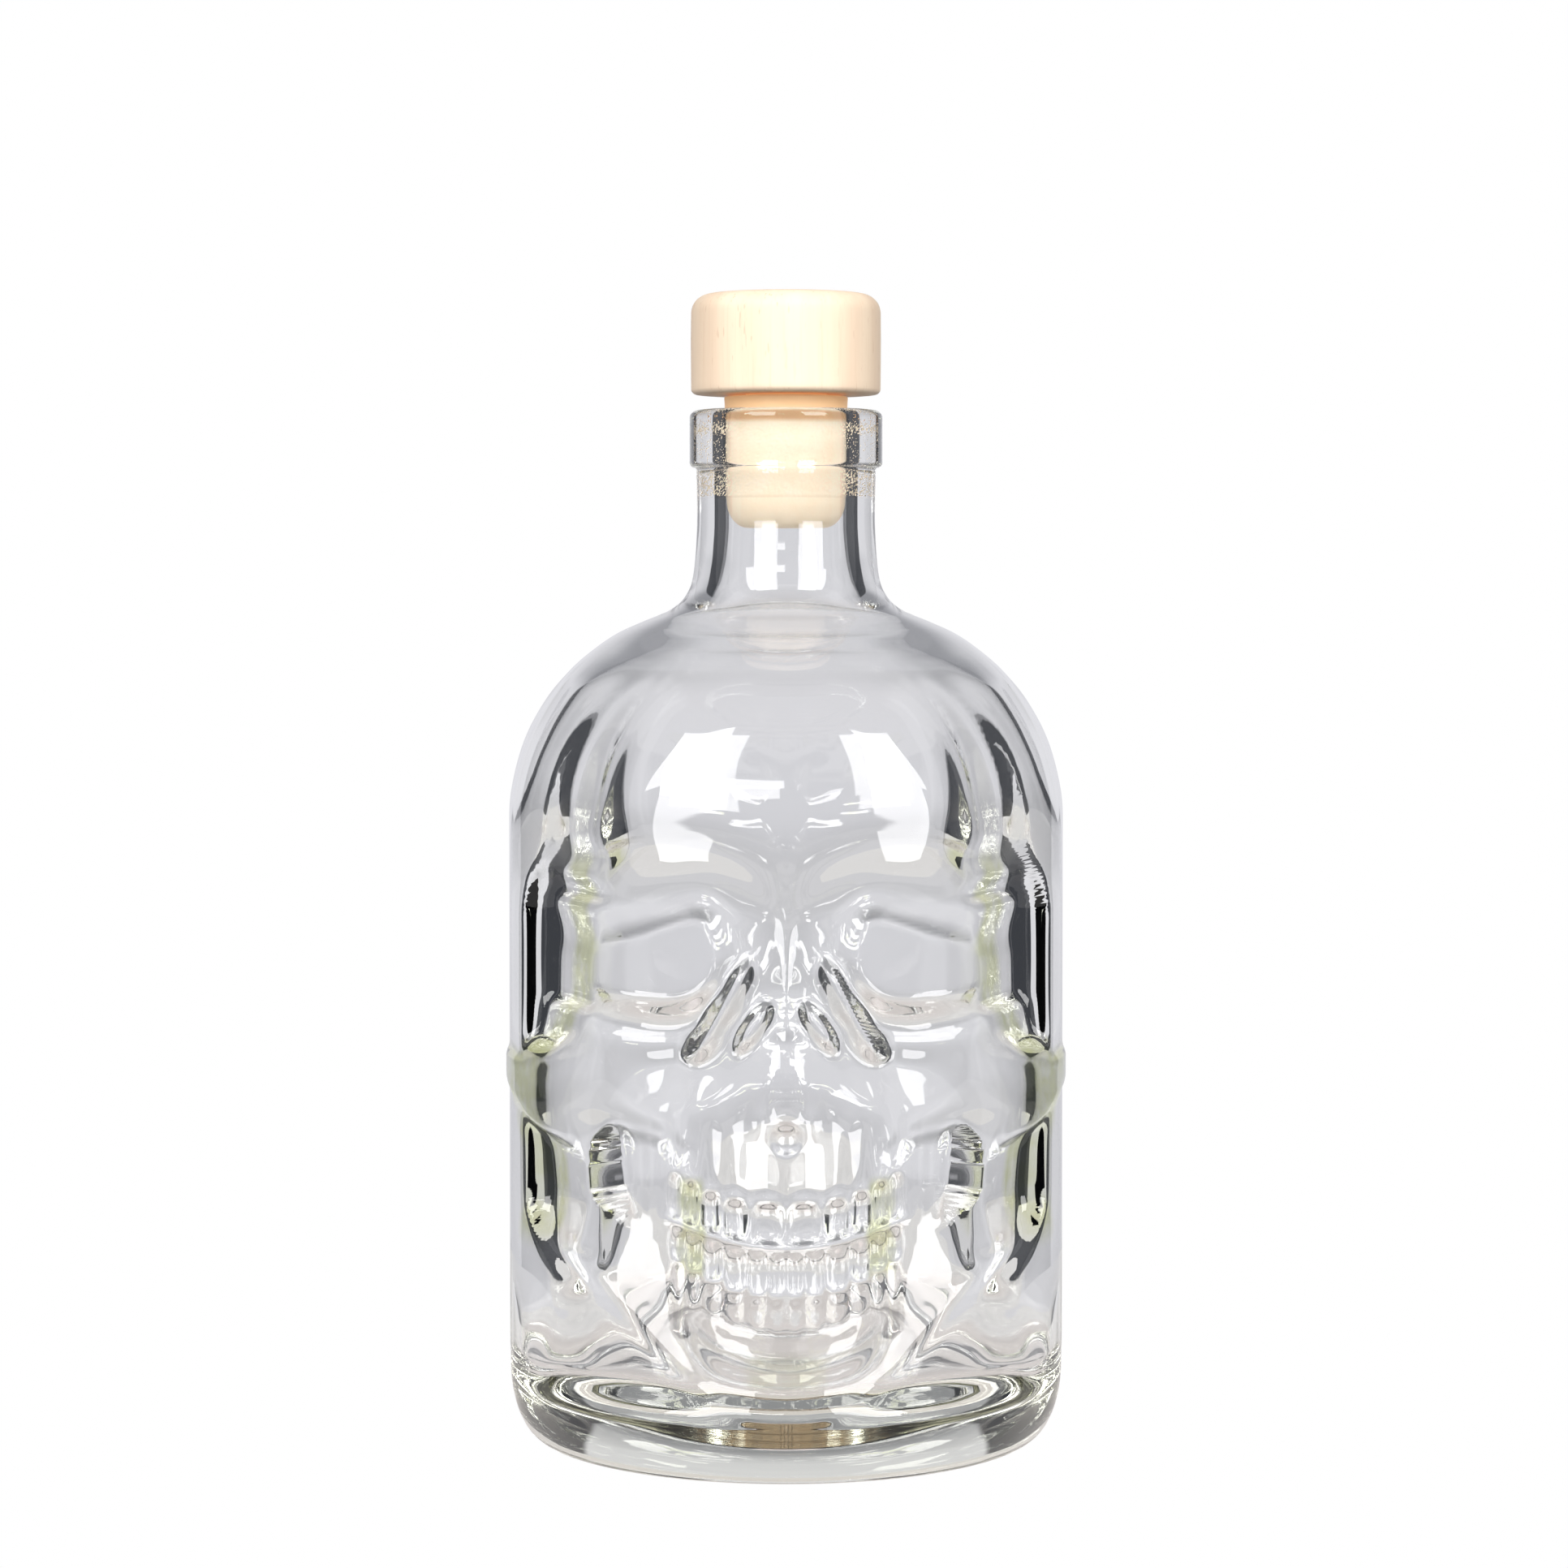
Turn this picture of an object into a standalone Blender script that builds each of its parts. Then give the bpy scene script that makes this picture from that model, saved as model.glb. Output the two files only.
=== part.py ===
"""Skull bottle: a round glass flask with a skull pressed into its front, closed by a push-in stopper.

Frame: metres, +Z up, the bottle stands on Z = 0 and its axis is the Z axis. The skull looks along -Y.
The pieces: the glass bottle, the turned wooden head, the synthetic shank that seals the bore, and the
disc of glue that holds the shank's tenon in the head's socket.
The bottle is laid out on a body 84 units across, and BODY_DIAMETER gives that body's real size, so a
unit is a little over a millimetre.
"""

import math

import bmesh
import bpy
import numpy as np

# ---- driving dimensions: the body's real diameter in metres, then lengths in units ----
BODY_DIAMETER = 0.086
BODY_R = 42.0            # plain cylinder of the bottle
U = BODY_DIAMETER / (2 * BODY_R)   # metres in a unit
HEEL_W, HEEL_H = 5.0, 11.0   # rounded heel: how far it draws in, how high it reaches
RING_OUT, RING_IN = 36.6, 31.6   # flat ring that the bottle stands on
PUNT = 2.6               # push-up inside that ring
FLOOR_Z = 10.7           # inside floor, at its edge
FLOOR_RISE = 1.2         # boss in the middle of the inside floor
FLOOR_CORNER = 3.6       # rounding between the inside floor and the walls
WALL = 3.0               # glass behind the skull and round the body
LIP_Z0, LIP_Z1, LIP_R = 146.8, 155.5, 14.65   # square finish at the mouth
BORE_R = 9.2             # mouth bore
BORE_FLARE = 0.5         # radius that eases the bore's upper edge
HEAD_Z0, HEAD_Z1, HEAD_R = 157.9, 173.1, 14.4     # wooden head
HEAD_TOP_RADIUS, HEAD_FOOT_RADIUS = 2.9, 0.7
SHANK_R = 8.82           # shank in the bore, a running fit in this rigid model
SHANK_Z0 = 137.6         # lower end of the shank
RIB = 0.16               # how far the sealing ribs stand out of the shank
COLLAR_R = 9.4           # shank between the mouth and the head
TENON_R, TENON_Z1 = 6.0, 163.6   # tenon inside the head
SOCKET_R, SOCKET_Z1 = 6.35, 164.7
GLUE_R, GLUE_Z0, GLUE_Z1 = 5.7, 163.9, 164.4
GAP = 0.3                # between pieces that touch

# plain shoulder and neck: (height, radius)
SHOULDER = [(94.5, 42.0), (97.0, 41.8), (99.4, 41.38), (101.9, 40.8), (104.4, 40.05), (106.9, 39.05), (109.3, 37.8),
            (111.8, 36.25), (114.3, 34.35), (116.8, 32.1), (119.2, 29.3), (121.7, 25.6), (123.6, 21.4), (125.2, 17.6),
            (126.9, 15.6), (129.2, 14.4), (131.6, 13.95), (136.0, 13.62), (139.6, 13.5), (142.5, 13.54), (145.2, 13.62)]

# The face as sections across the bottle. Each row is a height, then how far the surface stands in front
# of the axis at the half-widths in COLS.
COLS = [0, 5, 10, 15, 20, 24, 27.5, 31, 35, 43]
NET = [
    (4, 41.0, 40.7, 39.8, 38.2, 35.9, 33.2, 30.4, 27.0, 22, 10),
    (10, 41.5, 41.3, 40.4, 38.8, 36.4, 33.8, 30.9, 27.4, 22.3, 10),
    (14, 39.9, 39.5, 38.2, 36.0, 33.2, 30.6, 28.4, 26.2, 22.5, 10),
    (18, 39.8, 39.3, 37.9, 35.6, 32.9, 30.4, 28.4, 26.6, 23, 10),
    (22, 39.8, 39.2, 37.5, 35.1, 32.5, 30.3, 28.6, 27.0, 23.5, 12),
    (25, 39.9, 39.1, 37.0, 34.3, 32.0, 30.2, 28.7, 27.2, 24, 12),
    (30, 40.3, 39.2, 36.3, 32.9, 30.6, 29.5, 28.8, 27.4, 24.2, 12),
    (36, 40.9, 39.6, 36.4, 32.2, 29.2, 28.7, 28.9, 27.5, 24.2, 12),
    (42, 40.7, 39.9, 37.3, 32.2, 28.7, 28.5, 29.0, 27.5, 24.2, 12),
    (47, 39.5, 38.8, 36.7, 32.9, 29.9, 29.6, 29.9, 28.0, 24.0, 12),
    (51, 38.2, 37.7, 36.3, 34.5, 33.0, 32.2, 31.2, 28.5, 23.6, 12),
    (55, 37.5, 37.3, 36.7, 36.1, 35.3, 33.8, 31.6, 28.5, 23.4, 12),
    (59, 37.9, 37.8, 37.5, 37.2, 36.4, 34.5, 31.8, 28.5, 23.4, 12),
    (63, 38.8, 38.5, 37.9, 37.6, 36.7, 34.5, 31.6, 28.3, 23.4, 12),
    (67, 41.2, 39.4, 37.7, 37.4, 36.6, 34.2, 31.0, 27.6, 23, 12),
    (71, 41.4, 39.6, 37.7, 37.3, 36.4, 33.9, 30.5, 27.0, 22, 12),
    (76, 40.6, 39.5, 38.2, 37.7, 36.6, 34.0, 30.4, 26.8, 22, 12),
    (80, 40.1, 39.6, 38.9, 38.3, 37.0, 34.2, 30.6, 26.9, 22, 12),
    (84, 40.2, 40.1, 39.7, 38.9, 37.4, 35.4, 32.2, 28.2, 22.4, 12),
    (88, 40.2, 40.1, 39.7, 39.0, 37.7, 35.9, 33.4, 29.7, 22.8, 12),
    (92, 40.15, 40.05, 39.65, 38.85, 37.4, 35.55, 33.2, 29.8, 23.2, 12),
    (98, 40.0, 39.86, 39.4, 38.5, 36.9, 35.0, 32.7, 29.5, 23.4, 10),
    (103, 39.3, 39.16, 38.7, 37.8, 36.2, 34.3, 32.0, 29.0, 23.4, 10),
    (107, 38.1, 37.96, 37.5, 36.6, 35.1, 33.3, 31.1, 28.3, 23.2, 10),
    (110, 36.8, 36.66, 36.2, 35.3, 33.9, 32.2, 30.2, 27.6, 23.2, 10),
    (114, 34.6, 34.5, 34.1, 33.3, 32.0, 30.6, 28.9, 26.6, 22.8, 10),
    (120, 31.0, 30.9, 30.6, 30.0, 29.0, 28.0, 26.8, 25.2, 22.4, 10),
    (130, 31.0, 30.9, 30.6, 30.0, 29.0, 28.0, 26.8, 25.2, 22.4, 10),
]
# outer edge of the face: (height, half-width)
EDGE = [(9.0, 0.0), (9.8, 4.5), (10.8, 8.6), (13.4, 14.2), (18.7, 20.2), (24.6, 25.2), (28.5, 28.7), (31.5, 30.4),
        (35, 29.6), (40, 28.7), (45, 28.9), (49, 30.8), (52, 33.2), (56, 35.0), (58.4, 34.0), (60.5, 31.8), (64, 29.8),
        (67.2, 28.8), (68.4, 27.1), (73.9, 27.0), (77.3, 26.4), (81.8, 27.5), (83.1, 26.8), (84.1, 25.3), (87.2, 26.7),
        (89.5, 26.0), (93.3, 27.3), (99.4, 26.2), (104, 24.8), (108.9, 22.3), (113, 19.3), (116.5, 16.2), (120, 12.5)]
ORBIT = [(5.9, 80.2), (7.4, 84.4), (11.6, 86.9), (17.5, 87.0), (23.2, 85.6), (28.5, 82.8), (33.5, 78.5), (33.5, 72.5),
         (28.0, 68.2), (20.4, 66.9), (14.2, 67.2), (9.6, 69.8), (6.6, 74.8)]
NOSE_SIDE = [(4.6, 79.0), (5.9, 74.5), (8.6, 69.0), (11.4, 64.2), (12.8, 61.8)]      # crease between nose and cheek
NOSE_HOLE = [(0, 70.6), (2.0, 69.9), (4.6, 66.0), (6.8, 61.6), (7.6, 57.4), (6.0, 53.9), (2.6, 53.3), (0, 53.9)]
CHEEK_ROLL = [(12.5, 61.8), (18, 60.5), (24, 60.2), (29, 59.8)]
CHEEK_EDGE = [(15.5, 47.5), (19.5, 50.2), (24, 51.0), (29, 50.4), (33, 50.0)]
RAMUS = [(26.2, 47.5), (26.2, 42), (26.8, 36), (27.2, 32)]
JAW = [(30.0, 32.0), (27.4, 28.6), (23.6, 24.6), (18.8, 19.6), (13.4, 14.8), (7.6, 11.9), (0, 10.9), (-7.6, 11.9)]
# teeth: centre, half-width, height at the gum, height at the biting edge, swell
TEETH = [
    (2.6, 2.35, 41.0, 35.3, 1.0), (7.3, 1.75, 41.3, 35.7, 1.6), (10.85, 1.45, 42.0, 36.3, 1.8),
    (13.75, 1.2, 43.2, 37.0, 1.7), (16.1, 1.0, 44.0, 37.6, 1.4), (1.35, 1.25, 28.0, 33.5, 0.9),
    (4.15, 1.4, 28.1, 33.7, 1.0), (7.35, 1.6, 28.4, 34.0, 1.3), (10.65, 1.4, 29.4, 34.6, 1.6),
    (13.4, 1.15, 30.6, 35.2, 1.5), (15.7, 0.95, 31.8, 35.8, 1.3),
]
# cheek arch: angle from the front, its lower and upper limit
ARCH = [(46, 49.0, 61.4), (52, 49.2, 60.4), (58, 49.4, 59.2), (70, 51.0, 59.0), (80, 52.8, 59.4), (100, 54.6, 59.2)]
ARCH_PROUD = 0.6
RECESS_SLOPE = 2.5       # draft of the recess wall, depth per width
# floor of the side recesses: (height, how far in front of the axis it lies)
RECESS_FLOOR = [(28, 24.0), (34, 17.5), (38, 15.5), (48, 15.2), (58, 14.6), (80, 14.6), (85, 16.5), (89, 20.5), (93, 22.5), (121, 22.5)]
NOSE_CREASE, CREASE_SHARE = 5.0, 0.75   # depth of the nose's creases, and how much of it these facets can carry
CREASE_WIDTH = 1.35      # narrowest crease that these facets can carry

# ---- density of the meshes ----
FIELD_STEP = 0.25        # spacing of the height field that the face is worked out on
FACE_SOFT = 0.75         # how far the face's detail is softened, so that this mesh carries it
FRONT_COLUMNS, SIDE_COLUMNS, BACK_COLUMNS = 38, 5, 16
TURN_SEGMENTS = 40


# ---------------------------------------------------------------- small maths
def ease(a, b, t):
    t = np.clip((np.asarray(t, float) - a) / (b - a), 0, 1)
    return t * t * (3 - 2 * t)


def soft_min(a, b, k):
    h = np.clip(0.5 + 0.5 * (b - a) / k, 0, 1)
    return b + (a - b) * h - k * h * (1 - h)


def soft_max(a, b, k):
    return -soft_min(-a, -b, k)


def bell(t, w):
    return np.exp(-((t / w) ** 2))


def curve(xs, ys, x):
    """Monotone cubic through (xs, ys). ys may hold several curves, one in each column."""
    xs, ys, x = np.asarray(xs, float), np.asarray(ys, float), np.asarray(x, float)
    single = ys.ndim == 1
    if single:
        ys = ys[:, None]
    h = np.diff(xs)[:, None]
    d = np.diff(ys, axis=0) / h
    m = np.zeros_like(ys)
    m[0], m[-1] = d[0], d[-1]
    a, b = d[:-1], d[1:]
    w1, w2 = 2 * h[1:] + h[:-1], h[1:] + 2 * h[:-1]
    safe = np.where(a * b > 0, 1.0, 0.0)
    aa, bb = np.where(safe > 0, a, 1.0), np.where(safe > 0, b, 1.0)
    m[1:-1] = safe * (w1 + w2) / (w1 / aa + w2 / bb)
    flat = np.clip(x, xs[0], xs[-1]).reshape(-1)
    i = np.clip(np.searchsorted(xs, flat) - 1, 0, len(xs) - 2)
    hh = h[i, 0][:, None]
    t = ((flat - xs[i]) / h[i, 0])[:, None]
    y = (ys[i] * (1 + 2 * t) * (1 - t) ** 2 + hh * m[i] * t * (1 - t) ** 2
         + ys[i + 1] * t * t * (3 - 2 * t) + hh * m[i + 1] * t * t * (t - 1))
    return y[:, 0].reshape(x.shape) if single else y.reshape(x.shape + (ys.shape[1],))


def smooth_path(points, closed, sub=8):
    """Catmull-Rom curve through the points."""
    p = np.asarray(points, float)
    if closed:
        ring = np.vstack([p[-1:], p, p[:2]])
    else:
        ring = np.vstack([2 * p[0] - p[1], p, 2 * p[-1] - p[-2]])
    out = []
    for i in range(1, len(ring) - 2):
        p0, p1, p2, p3 = ring[i - 1:i + 3]
        for t in np.arange(sub) / sub:
            out.append(0.5 * (2 * p1 + (p2 - p0) * t + (2 * p0 - 5 * p1 + 4 * p2 - p3) * t * t
                              + (3 * p1 - p0 - 3 * p2 + p3) * t ** 3))
    out.append(ring[-2])
    return np.array(out)


def distance(points, X, Z, closed=False):
    """Distance to a smooth line; for a closed one, positive inside it."""
    path = smooth_path(points, closed)
    best = np.full(X.shape, 1e9)
    inside = np.zeros(X.shape, bool)
    for (ax, az), (bx, bz) in zip(path[:-1], path[1:]):
        dx, dz = bx - ax, bz - az
        t = np.clip(((X - ax) * dx + (Z - az) * dz) / (dx * dx + dz * dz + 1e-12), 0, 1)
        np.minimum(best, (X - ax - t * dx) ** 2 + (Z - az - t * dz) ** 2, out=best)
        if closed and bz != az:
            inside ^= ((az > Z) != (bz > Z)) & (X < ax + (Z - az) / (bz - az) * dx)
    d = np.sqrt(best)
    return np.where(inside, d, -d) if closed else d


def blurred(A, s, step):
    """Gaussian blur of a field on a square grid, mirrored at its first row."""
    n = int(math.ceil(3 * s / step))
    k = np.exp(-0.5 * (np.arange(-n, n + 1) * step / s) ** 2)
    k /= k.sum()
    for axis in (0, 1):
        B = np.moveaxis(A, axis, 0)
        lead = B[n:0:-1] if axis == 0 else np.repeat(B[:1], n, 0)
        P = np.concatenate([lead, B, np.repeat(B[-1:], n, 0)])
        A = np.moveaxis(sum(k[j] * P[j:j + len(B)] for j in range(2 * n + 1)), 0, axis)
    return A


# ---------------------------------------------------------------- the bottle's outer surface
def plain_radius(z):
    """Radius of the bottle without its face."""
    z = np.asarray(z, float)
    heel = BODY_R - HEEL_W + HEEL_W * np.sqrt(np.clip(1 - ((HEEL_H - np.clip(z, 0, HEEL_H)) / HEEL_H) ** 2, 0, 1))
    s = np.array(SHOULDER)
    return np.where(z < HEEL_H, heel, np.where(z < s[0, 0], BODY_R, curve(s[:, 0], s[:, 1], z)))


def face_field(xg, zg, step):
    """How far the front stands before the axis, on a grid of half-widths by heights."""
    X, Z = np.meshgrid(xg, zg, indexing="ij")
    net = np.array(NET)
    sections = curve(net[:, 0], net[:, 1:], zg)
    env = curve(COLS, sections.T, xg)
    plain = np.sqrt(np.clip(plain_radius(zg)[None, :] ** 2 - X ** 2, 0, None))
    Y = env.copy()
    d = distance(ORBIT, X, Z, closed=True)
    Y += 0.3 * bell(d + 2.2, 2.6) * ease(74, 83, Z) * ease(31, 25, X)       # brow
    Y += 0.9 * bell(d + 1.3, 1.2) * ease(74, 69, Z) * ease(7, 12, X)        # lower rim
    reach = 2.8 + ease(71, 83, Z) * (2.6 + 4.6 * ease(9, 25, X)) + 0.8 * ease(14, 8, X)
    t = np.clip(d / reach, 0, 1)
    fall = ease(0, 1, t) + (t ** 1.8 - ease(0, 1, t)) * ease(72, 82, Z)
    Y -= (4.4 + 0.6 * ease(20, 9, X)) * fall * (1 - 0.45 * ease(19, 28, X))
    ridge = curve([60, 68, 76, 82, 90], [4.6, 3.8, 3.0, 3.0, 5.0], Z)
    Y += 1.1 * bell(X, ridge) * ease(67, 72, Z) * ease(86, 78, Z)           # nasal bones
    across = 0.6 + 0.95 * np.sqrt(np.clip(1 - ((Z - 67.2) / 8.0) ** 2, 0, 1)) - 0.4 * bell(Z - 66.0, 1.6)
    Y -= CREASE_SHARE * NOSE_CREASE * bell(distance(NOSE_SIDE, X, Z), np.maximum(across, CREASE_WIDTH)) * ease(77.0, 72.5, Z) * ease(59.5, 62.5, Z)
    hole = NOSE_HOLE + [(-x, z) for x, z in NOSE_HOLE[-2:0:-1]]
    d = distance(hole, X, Z, closed=True)
    Y -= 0.35 * ease(0, 5.0, d)
    pu, pv = (X - 4.7) * 0.829 + (Z - 65.9) * 0.559, -(X - 4.7) * 0.559 + (Z - 65.9) * 0.829
    Y -= CREASE_SHARE * 3.6 * ease(1.2, 0.55, np.sqrt((pu / (CREASE_WIDTH + 0.6)) ** 2 + (pv / 4.2) ** 2))    # nostrils
    Y += 1.7 * np.sqrt(np.clip(1 - (X / 2.3) ** 2 - ((Z - 49.9) / 2.1) ** 2, 0, 1))   # spine under the nose
    Y -= 0.7 * np.exp(-((X - 3.6) / 1.2) ** 2 - ((Z - 52.0) / 2.2) ** 2)
    Y += 0.5 * bell(distance(CHEEK_ROLL, X, Z), 1.6)
    Y += 0.8 * bell(distance(CHEEK_EDGE, X, Z), 1.5) * ease(34, 29, X)
    Y -= 0.9 * np.exp(-((X - 13.2) / 3.2) ** 2 - ((Z - 54.5) / 3.6) ** 2)
    Y += 0.8 * bell(distance(RAMUS, X, Z), 1.6)
    Y += 0.7 * bell(distance(JAW, X, Z), 1.9) * ease(33.5, 30, Z)
    crest = Z - 17.6 - 0.020 * X ** 2
    Y += 1.5 * np.where(crest > 0, ease(4.6, 1.2, crest), bell(crest, 3.4)) * ease(15, 9, X)
    for cx, half, gum, bite, swell in TEETH:
        u = (X - cx) / half
        low, high = min(gum, bite), max(gum, bite)
        v = (Z - (low + high) / 2) / ((high - low) / 2)
        Y += swell * np.sqrt(np.clip(1 - np.abs(u) ** 2.6 - np.abs(v) ** 2.6, 0, 1))
        Y -= 0.3 * bell(np.abs(u) - 1.1, 0.18) * ease(1.15, 0.7, np.abs(v))
        root = gum + (4.2 if gum > bite else -2.4)
        Y += 0.5 * min(swell, 1.2) * np.clip(1 - np.abs(u), 0, 1) ** 1.1 * bell(Z - root, 4.6 if gum > bite else 2.4) * ease(0.0, 1.6, np.abs(Z - gum))
    Y -= 0.9 * bell(Z - 34.35 - 0.009 * X ** 2, 0.7) * ease(18.5, 16, X)    # where the two rows meet
    # recesses beside the face, with the wall that drops into them
    e = np.array(EDGE)
    T = curve(e[:, 0], e[:, 1], zg)[None, :]
    at_edge = np.take_along_axis(env, np.clip((T / step).round().astype(int), 0, len(xg) - 1), axis=0)
    run = X - T
    f = np.array(RECESS_FLOOR)
    floor = curve(f[:, 0], f[:, 1], zg)[None, :]
    wall = soft_max(at_edge - RECESS_SLOPE * run, floor, 2.4)
    depth = ease(121, 97, Z) * ease(22, 36, Z)
    beside = (plain - depth * np.clip(plain - wall, 0, None) * ease(-0.6, 0.6, run)
              - 1.5 * ease(0.0, 1.6, run) * ease(9, 1.5, run) * ease(33, 28, Z) * ease(8.5, 11.5, Z))
    beside = np.where(run > -0.6, beside, plain)
    Y = soft_min(Y, beside + np.clip(-run, 0, None) * 3.0, 0.7)
    Y = soft_min(Y, plain + 0.12 + 0.6 * ease(60, 66, Z) * ease(112, 100, Z), 0.5)
    Y = blurred(Y, FACE_SOFT, step)
    return plain + (Y - plain) * ease(4.0, 9.0, Z) * ease(120, 112, Z)


def outer_radius(angles, heights, step=FIELD_STEP):
    """Distance from the axis to the outer surface, at angles from the front (radians) by heights."""
    xg = np.arange(0, 44 + step / 2, step)
    zg = np.arange(2.0, 122 + step / 2, step)
    field = face_field(xg, zg, step)
    plain = plain_radius(heights)
    at = np.clip((heights - zg[0]) / step, 0, len(zg) - 1.001)
    k = at.astype(int)
    rows = field[:, k] * (1 - (at - k)) + field[:, k + 1] * (at - k)
    arch = np.array(ARCH, float)
    out = np.empty((len(angles), len(heights)))
    rho = np.arange(12.0, 43.6, 0.05)
    known = {}
    for i, angle in enumerate(np.abs(np.asarray(angles, float))):
        key = round(float(angle), 7)
        if key in known:
            out[i] = out[known[key]]
            continue
        known[key] = i
        r = plain.copy()
        deg = math.degrees(angle)
        if deg < 89.0:
            xi = np.clip(rho * math.sin(angle) / step, 0, len(xg) - 1.001)
            a = xi.astype(int)
            f = (xi - a)[:, None]
            over = rho[:, None] * math.cos(angle) - (rows[a] * (1 - f) + rows[a + 1] * f)
            j = np.argmax(over > 0, axis=0)
            j1 = np.maximum(j, 1)
            c = np.arange(len(heights))
            b0, b1 = over[j1 - 1, c], over[j1, c]
            hit = rho[j1 - 1] + 0.05 * np.clip(-b0 / np.where(b1 - b0 == 0, 1, b1 - b0), 0, 1)
            hit = np.where((j > 0) & (heights > 3.0) & (heights < 121.0), hit, plain)
            r = np.minimum(hit, plain + 0.6)
        if 44 < deg < 104:
            low, high = curve(arch[:, 0], arch[:, 1], deg), curve(arch[:, 0], arch[:, 2], deg)
            proud = BODY_R + ARCH_PROUD * ease(56, 78, deg) * ease(103, 92, deg) * ease(low - 0.5, low + 1.5, heights) * ease(high + 0.5, high - 1.5, heights)
            band = ease(low - 3.0, low + 0.3, heights) * ease(high + 3.6, high - 0.2, heights) * ease(44, 52, deg)
            r = r + np.maximum(proud - r, 0) * band
        out[i] = r
    return out


def inner_radius(angles, heights, wall):
    """Radius of the cavity: the outer surface moved in by the wall, then smoothed as blown glass is."""
    r = outer_radius(angles, heights)
    da, dz = angles[1] - angles[0], heights[1] - heights[0]
    na, nz = int(wall / (BODY_R * da)) + 1, int(wall / dz) + 1
    best = r - wall
    for i in range(-na, na + 1):
        for j in range(-nz, nz + 1):
            q = np.roll(r, i, axis=0)
            q = np.concatenate([q[:, j:], np.repeat(q[:, -1:], j, 1)], 1) if j >= 0 else np.concatenate([np.repeat(q[:, :1], -j, 1), q[:, :j]], 1)
            s = wall ** 2 - (j * dz) ** 2 - (q * math.sin(i * da)) ** 2
            best = np.minimum(best, np.where(s > 0, q * math.cos(i * da) - np.sqrt(np.clip(s, 0, None)), 99))
    lead = 12
    P = np.concatenate([best[-lead:], best, best[:lead]])
    P = blurred(P, 0.9, 0.5)
    return np.minimum(P[lead:-lead], best + 0.4)


# ---------------------------------------------------------------- mesh building
def mesh_object(name, bm, material, smooth_angle=40):
    mesh = bpy.data.meshes.new(name)
    bm.to_mesh(mesh)
    bm.free()
    mesh.shade_smooth()
    mesh.set_sharp_from_angle(angle=math.radians(smooth_angle))
    mesh.materials.append(material)
    obj = bpy.data.objects.new(name, mesh)
    bpy.context.scene.collection.objects.link(obj)
    return obj


def material(name, color, roughness, transmission=0.0, ior=1.5):
    m = bpy.data.materials.new(name)
    m.use_nodes = True
    shader = m.node_tree.nodes["Principled BSDF"]
    shader.inputs["Base Color"].default_value = (*color, 1.0)
    shader.inputs["Roughness"].default_value = roughness
    shader.inputs["Metallic"].default_value = 0.0
    shader.inputs["IOR"].default_value = ior
    shader.inputs["Transmission Weight"].default_value = transmission
    return m


def loop_of(bm, radii, z, angles):
    """A closed loop of vertices round the axis, at angles from the front."""
    z = np.broadcast_to(z, np.shape(angles))
    return [bm.verts.new((r * math.sin(a) * U, -r * math.cos(a) * U, h * U)) for r, a, h in zip(radii, angles, z)]


def bridge(bm, upper, lower):
    """Faces between two loops, the surface's outside being to the right of the way down. The lower
    loop may have half as many vertices."""
    n = len(upper)
    step = n // len(lower)
    for k in range(len(lower)):
        l0, l1 = lower[k], lower[(k + 1) % len(lower)]
        u = [upper[(k * step + s) % n] for s in range(step + 1)]
        bm.faces.new([l0, l1] + u[::-1] if step == 1 else [l0, u[1], u[0]])
        if step == 2:
            bm.faces.new([l0, l1, u[2], u[1]])


def turned(name, profile, mat, segments=TURN_SEGMENTS):
    """A solid turned about Z: profile points (radius, height) from the top centre down the outside
    and back up inside, ends on the axis."""
    bm = bmesh.new()
    angles = [2 * math.pi * k / segments for k in range(segments)]
    rings = []
    for r, z in profile:
        if r < 1e-6:
            rings.append([bm.verts.new((0, 0, z * U))])
        else:
            rings.append(loop_of(bm, [r] * segments, z, angles))
    for a, b in zip(rings[:-1], rings[1:]):
        for k in range(segments):
            k1 = (k + 1) % segments
            if len(a) == 1:
                bm.faces.new([a[0], b[k], b[k1]])
            elif len(b) == 1:
                bm.faces.new([a[k1], a[k], b[0]])
            else:
                bm.faces.new([a[k1], a[k], b[k], b[k1]])
    bmesh.ops.recalc_face_normals(bm, faces=bm.faces)
    return mesh_object(name, bm, mat)


def rounded(r, z, radius, height, start, end, steps):
    """Points of an elliptical edge round (r - radius, z - height), from start to end degrees above level."""
    return [(r - radius + radius * math.cos(math.radians(a)), z - height + height * math.sin(math.radians(a)))
            for a in np.linspace(start, end, steps)]


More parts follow.
